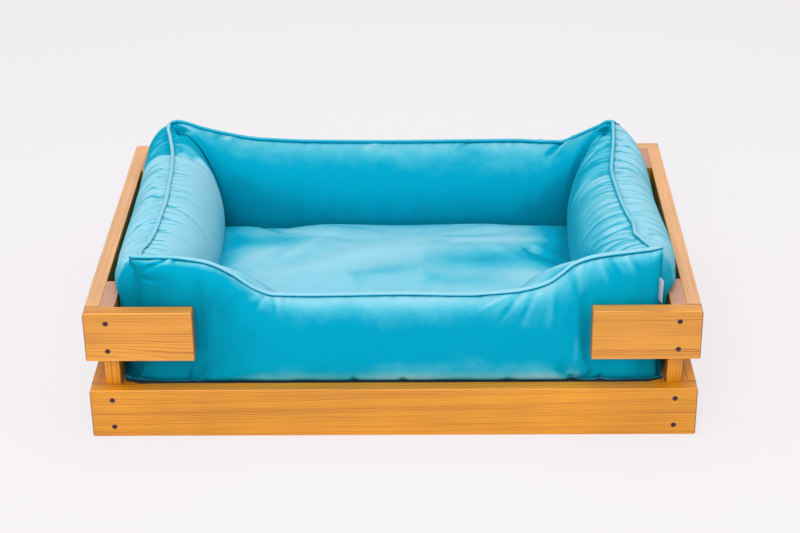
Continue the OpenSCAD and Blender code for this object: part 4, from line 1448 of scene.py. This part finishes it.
class SofaBedBaseCloth(bpy.types.Operator):
    """Builds the cloth under the walls, which lies on the slats."""

    bl_idname = "sofa_bed.base_cloth"
    bl_label = "Base cloth"

    # Sizes of the cloth's rings as shares of its outline, and how far its edge is rounded
    rings = (1.0, 0.985, 0.95, 0.85, 0.7, 0.5, 0.3, 0.1)
    edge_round = 0.0006

    # How far it keeps from the posts, how far it bends in beside them, and over which length
    post_room = 0.006
    bend, bend_length = 0.010, 0.030

    def execute(self, context):
        material, shader, place = new_material("base_weave")
        x, y, _ = place.parts()
        weave = x.maths("SINE", x * 3900.0) * y.maths("SINE", y * 3900.0)
        slub = place.noise(place.vector(x * 30.0, y * 400.0, 0.0), 1.0, 2.0)
        # Near black: a dark base cloth, made this dark as painted shade where it shows at the
        # walls' feet
        colour = place.tint(rgba(colours().base_cloth), 0.8 + weave * 0.08 + slub * 0.25)
        finish_shader(shader, place, Base_Color=colour, Roughness=0.9,
                      Bump=(weave * 0.5 + slub, 0.3 * MM))
        outline = self.outline()
        centre = outline.mean(axis=0)
        plan = centre + (outline - centre) * np.array(self.rings)[:, None, None]
        top, low = (np.dstack([plan, np.full(plan.shape[:2], level)])
                    for level in (CLOTH_HIGH.z, CLOTH_LOW.z))
        top[0, :, 2] -= self.edge_round
        low[0, :, 2] += self.edge_round
        skin = np.concatenate([low[::-1], top])
        faces = tube_faces(len(skin), len(outline))
        piece = new_piece("base_cloth_sheet", skin, faces, "bed", material,
                          ["base_cloth"])
        x, y = outline.T
        area = 0.5 * abs(np.sum(x * np.roll(y, -1) - y * np.roll(x, -1)))
        return {"FINISHED"}

    def outline(self):
        """The feet of the side walls' outer panels, joined in front and at the back by lines
        along the boards that bend in at the posts, by a smooth step."""
        share = np.linspace(0, 1, 60)[:-1]
        reach = POST_LOW.x - self.post_room
        x = reach * (2 * share - 1)
        bent = self.bend * ease(reach - self.bend_length, reach, np.abs(x))
        front = np.column_stack([x, FRONT_BOARD_HIGH.y + BOARD_ROOM + bent])
        right = wall_line("right", "outer_foot", share)
        left = wall_line("left", "outer_foot", 1 - share)
        return np.concatenate([front, right, -front, left])


class SofaBedLabel(bpy.types.Operator):
    """Folds the blank satin label out of the right front corner seam."""

    bl_idname = "sofa_bed.label"
    bl_label = "Label"

    # How far the label reaches past its solid at its ends and its fold, and how far from the
    # solid's left side it starts
    past_ends, past_fold, start = 0.003, 0.004, 0.003

    # How far its fold curls out, how much more it does at the top, half the gap between its two
    # plies, and their thickness
    curl, top_curl = 0.0045, 0.001
    half_gap = 0.0009
    ply = 0.0007

    def execute(self, context):
        material, shader, place = new_material("label_satin")
        upright = place.parts()[2]
        weave = upright.maths("SINE", upright * 9000.0)
        colour = place.tint(rgba(colours().label), 0.95 + weave * 0.05)
        finish_shader(shader, place, Base_Color=colour, Roughness=0.45, Bump=(weave, 0.1 * MM))
        low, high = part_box("side_label")
        turn = np.linspace(0, 1, 24)[None]
        rise = np.linspace(0, 1, 16)[:, None]
        out = np.where(turn < 0.5, turn * 2, 2 - turn * 2)
        side = np.where(turn < 0.5, -1, 1) * self.half_gap * (1 - out**4)
        x = low.x + self.start + side + (self.curl + self.top_curl * rise**2) * out
        y = high.y + (low.y - self.past_fold - high.y) * out
        z = low.z - self.past_ends + (high.z - low.z + 2 * self.past_ends) * rise
        grid = np.stack(np.broadcast_arrays(x, y, z), 2)
        faces = grid_faces(np.arange(x.size).reshape(x.shape).T)
        piece = new_piece("side_label_ribbon", grid, faces.tolist(), "bed", material,
                          ["side_label"])
        cloth = piece.modifiers.new("ply", "SOLIDIFY")
        cloth.thickness = self.ply
        cloth.offset = 0.0
        return {"FINISHED"}


class SofaBedZips(bpy.types.Operator):
    """Gives the two zips their woven tape, with the coil's turns in relief."""

    bl_idname = "sofa_bed.zips"
    bl_label = "Zips"

    def execute(self, context):
        material, shader, place = new_material("zip_tape")
        x, _, z = place.parts()
        weave = x.maths("SINE", x * 3000.0) * z.maths("SINE", z * 4200.0)
        turns = x.maths("SINE", x * 4800.0)
        colour = place.tint(rgba(colours().zip_tape), 0.9 + weave * 0.1)
        finish_shader(shader, place, Base_Color=colour, Roughness=0.6,
                      Bump=(weave * 0.4 + turns, 0.3 * MM))
        for node in ("wall_zip", "seat_zip"):
            dress(node, material)
        return {"FINISHED"}


STEPS = (SofaBedStage, SofaBedWood, SofaBedScrews, SofaBedWalls, SofaBedPiping, SofaBedSeat,
         SofaBedBaseCloth, SofaBedLabel, SofaBedZips)


class SofaBedPanel(bpy.types.Panel):
    """Lists the steps that build the sofa bed."""

    bl_idname = "VIEW3D_PT_sofa_bed"
    bl_label = "Dog sofa bed"
    bl_space_type = "VIEW_3D"
    bl_region_type = "UI"
    bl_category = "Sofa bed"

    def draw(self, context):
        for step in STEPS:
            self.layout.operator(step.bl_idname)
        for group in (context.scene.sofa_bed_sizes, context.scene.sofa_bed_colours):
            box = self.layout.box()
            for name in group.__annotations__:
                box.prop(group, name)


CLASSES = (SofaBedSizes, SofaBedColours, *STEPS, SofaBedPanel)


def register():
    """Makes the properties, the operators and the panel known."""
    for kind in CLASSES:
        bpy.utils.register_class(kind)
    bpy.types.Scene.sofa_bed_sizes = bpy.props.PointerProperty(type=SofaBedSizes)
    bpy.types.Scene.sofa_bed_colours = bpy.props.PointerProperty(type=SofaBedColours)


def unregister():
    """Takes them away again, last first."""
    del bpy.types.Scene.sofa_bed_colours
    del bpy.types.Scene.sofa_bed_sizes
    for kind in reversed(CLASSES):
        bpy.utils.unregister_class(kind)


def main():
    """Builds the sofa bed."""
    register()
    bpy.ops.sofa_bed.stage()
    bpy.ops.sofa_bed.wood()
    bpy.ops.sofa_bed.screws()
    bpy.ops.sofa_bed.walls()
    bpy.ops.sofa_bed.piping()
    bpy.ops.sofa_bed.seat()
    bpy.ops.sofa_bed.base_cloth()
    bpy.ops.sofa_bed.label()
    bpy.ops.sofa_bed.zips()


if __name__ == "__main__":
    main()
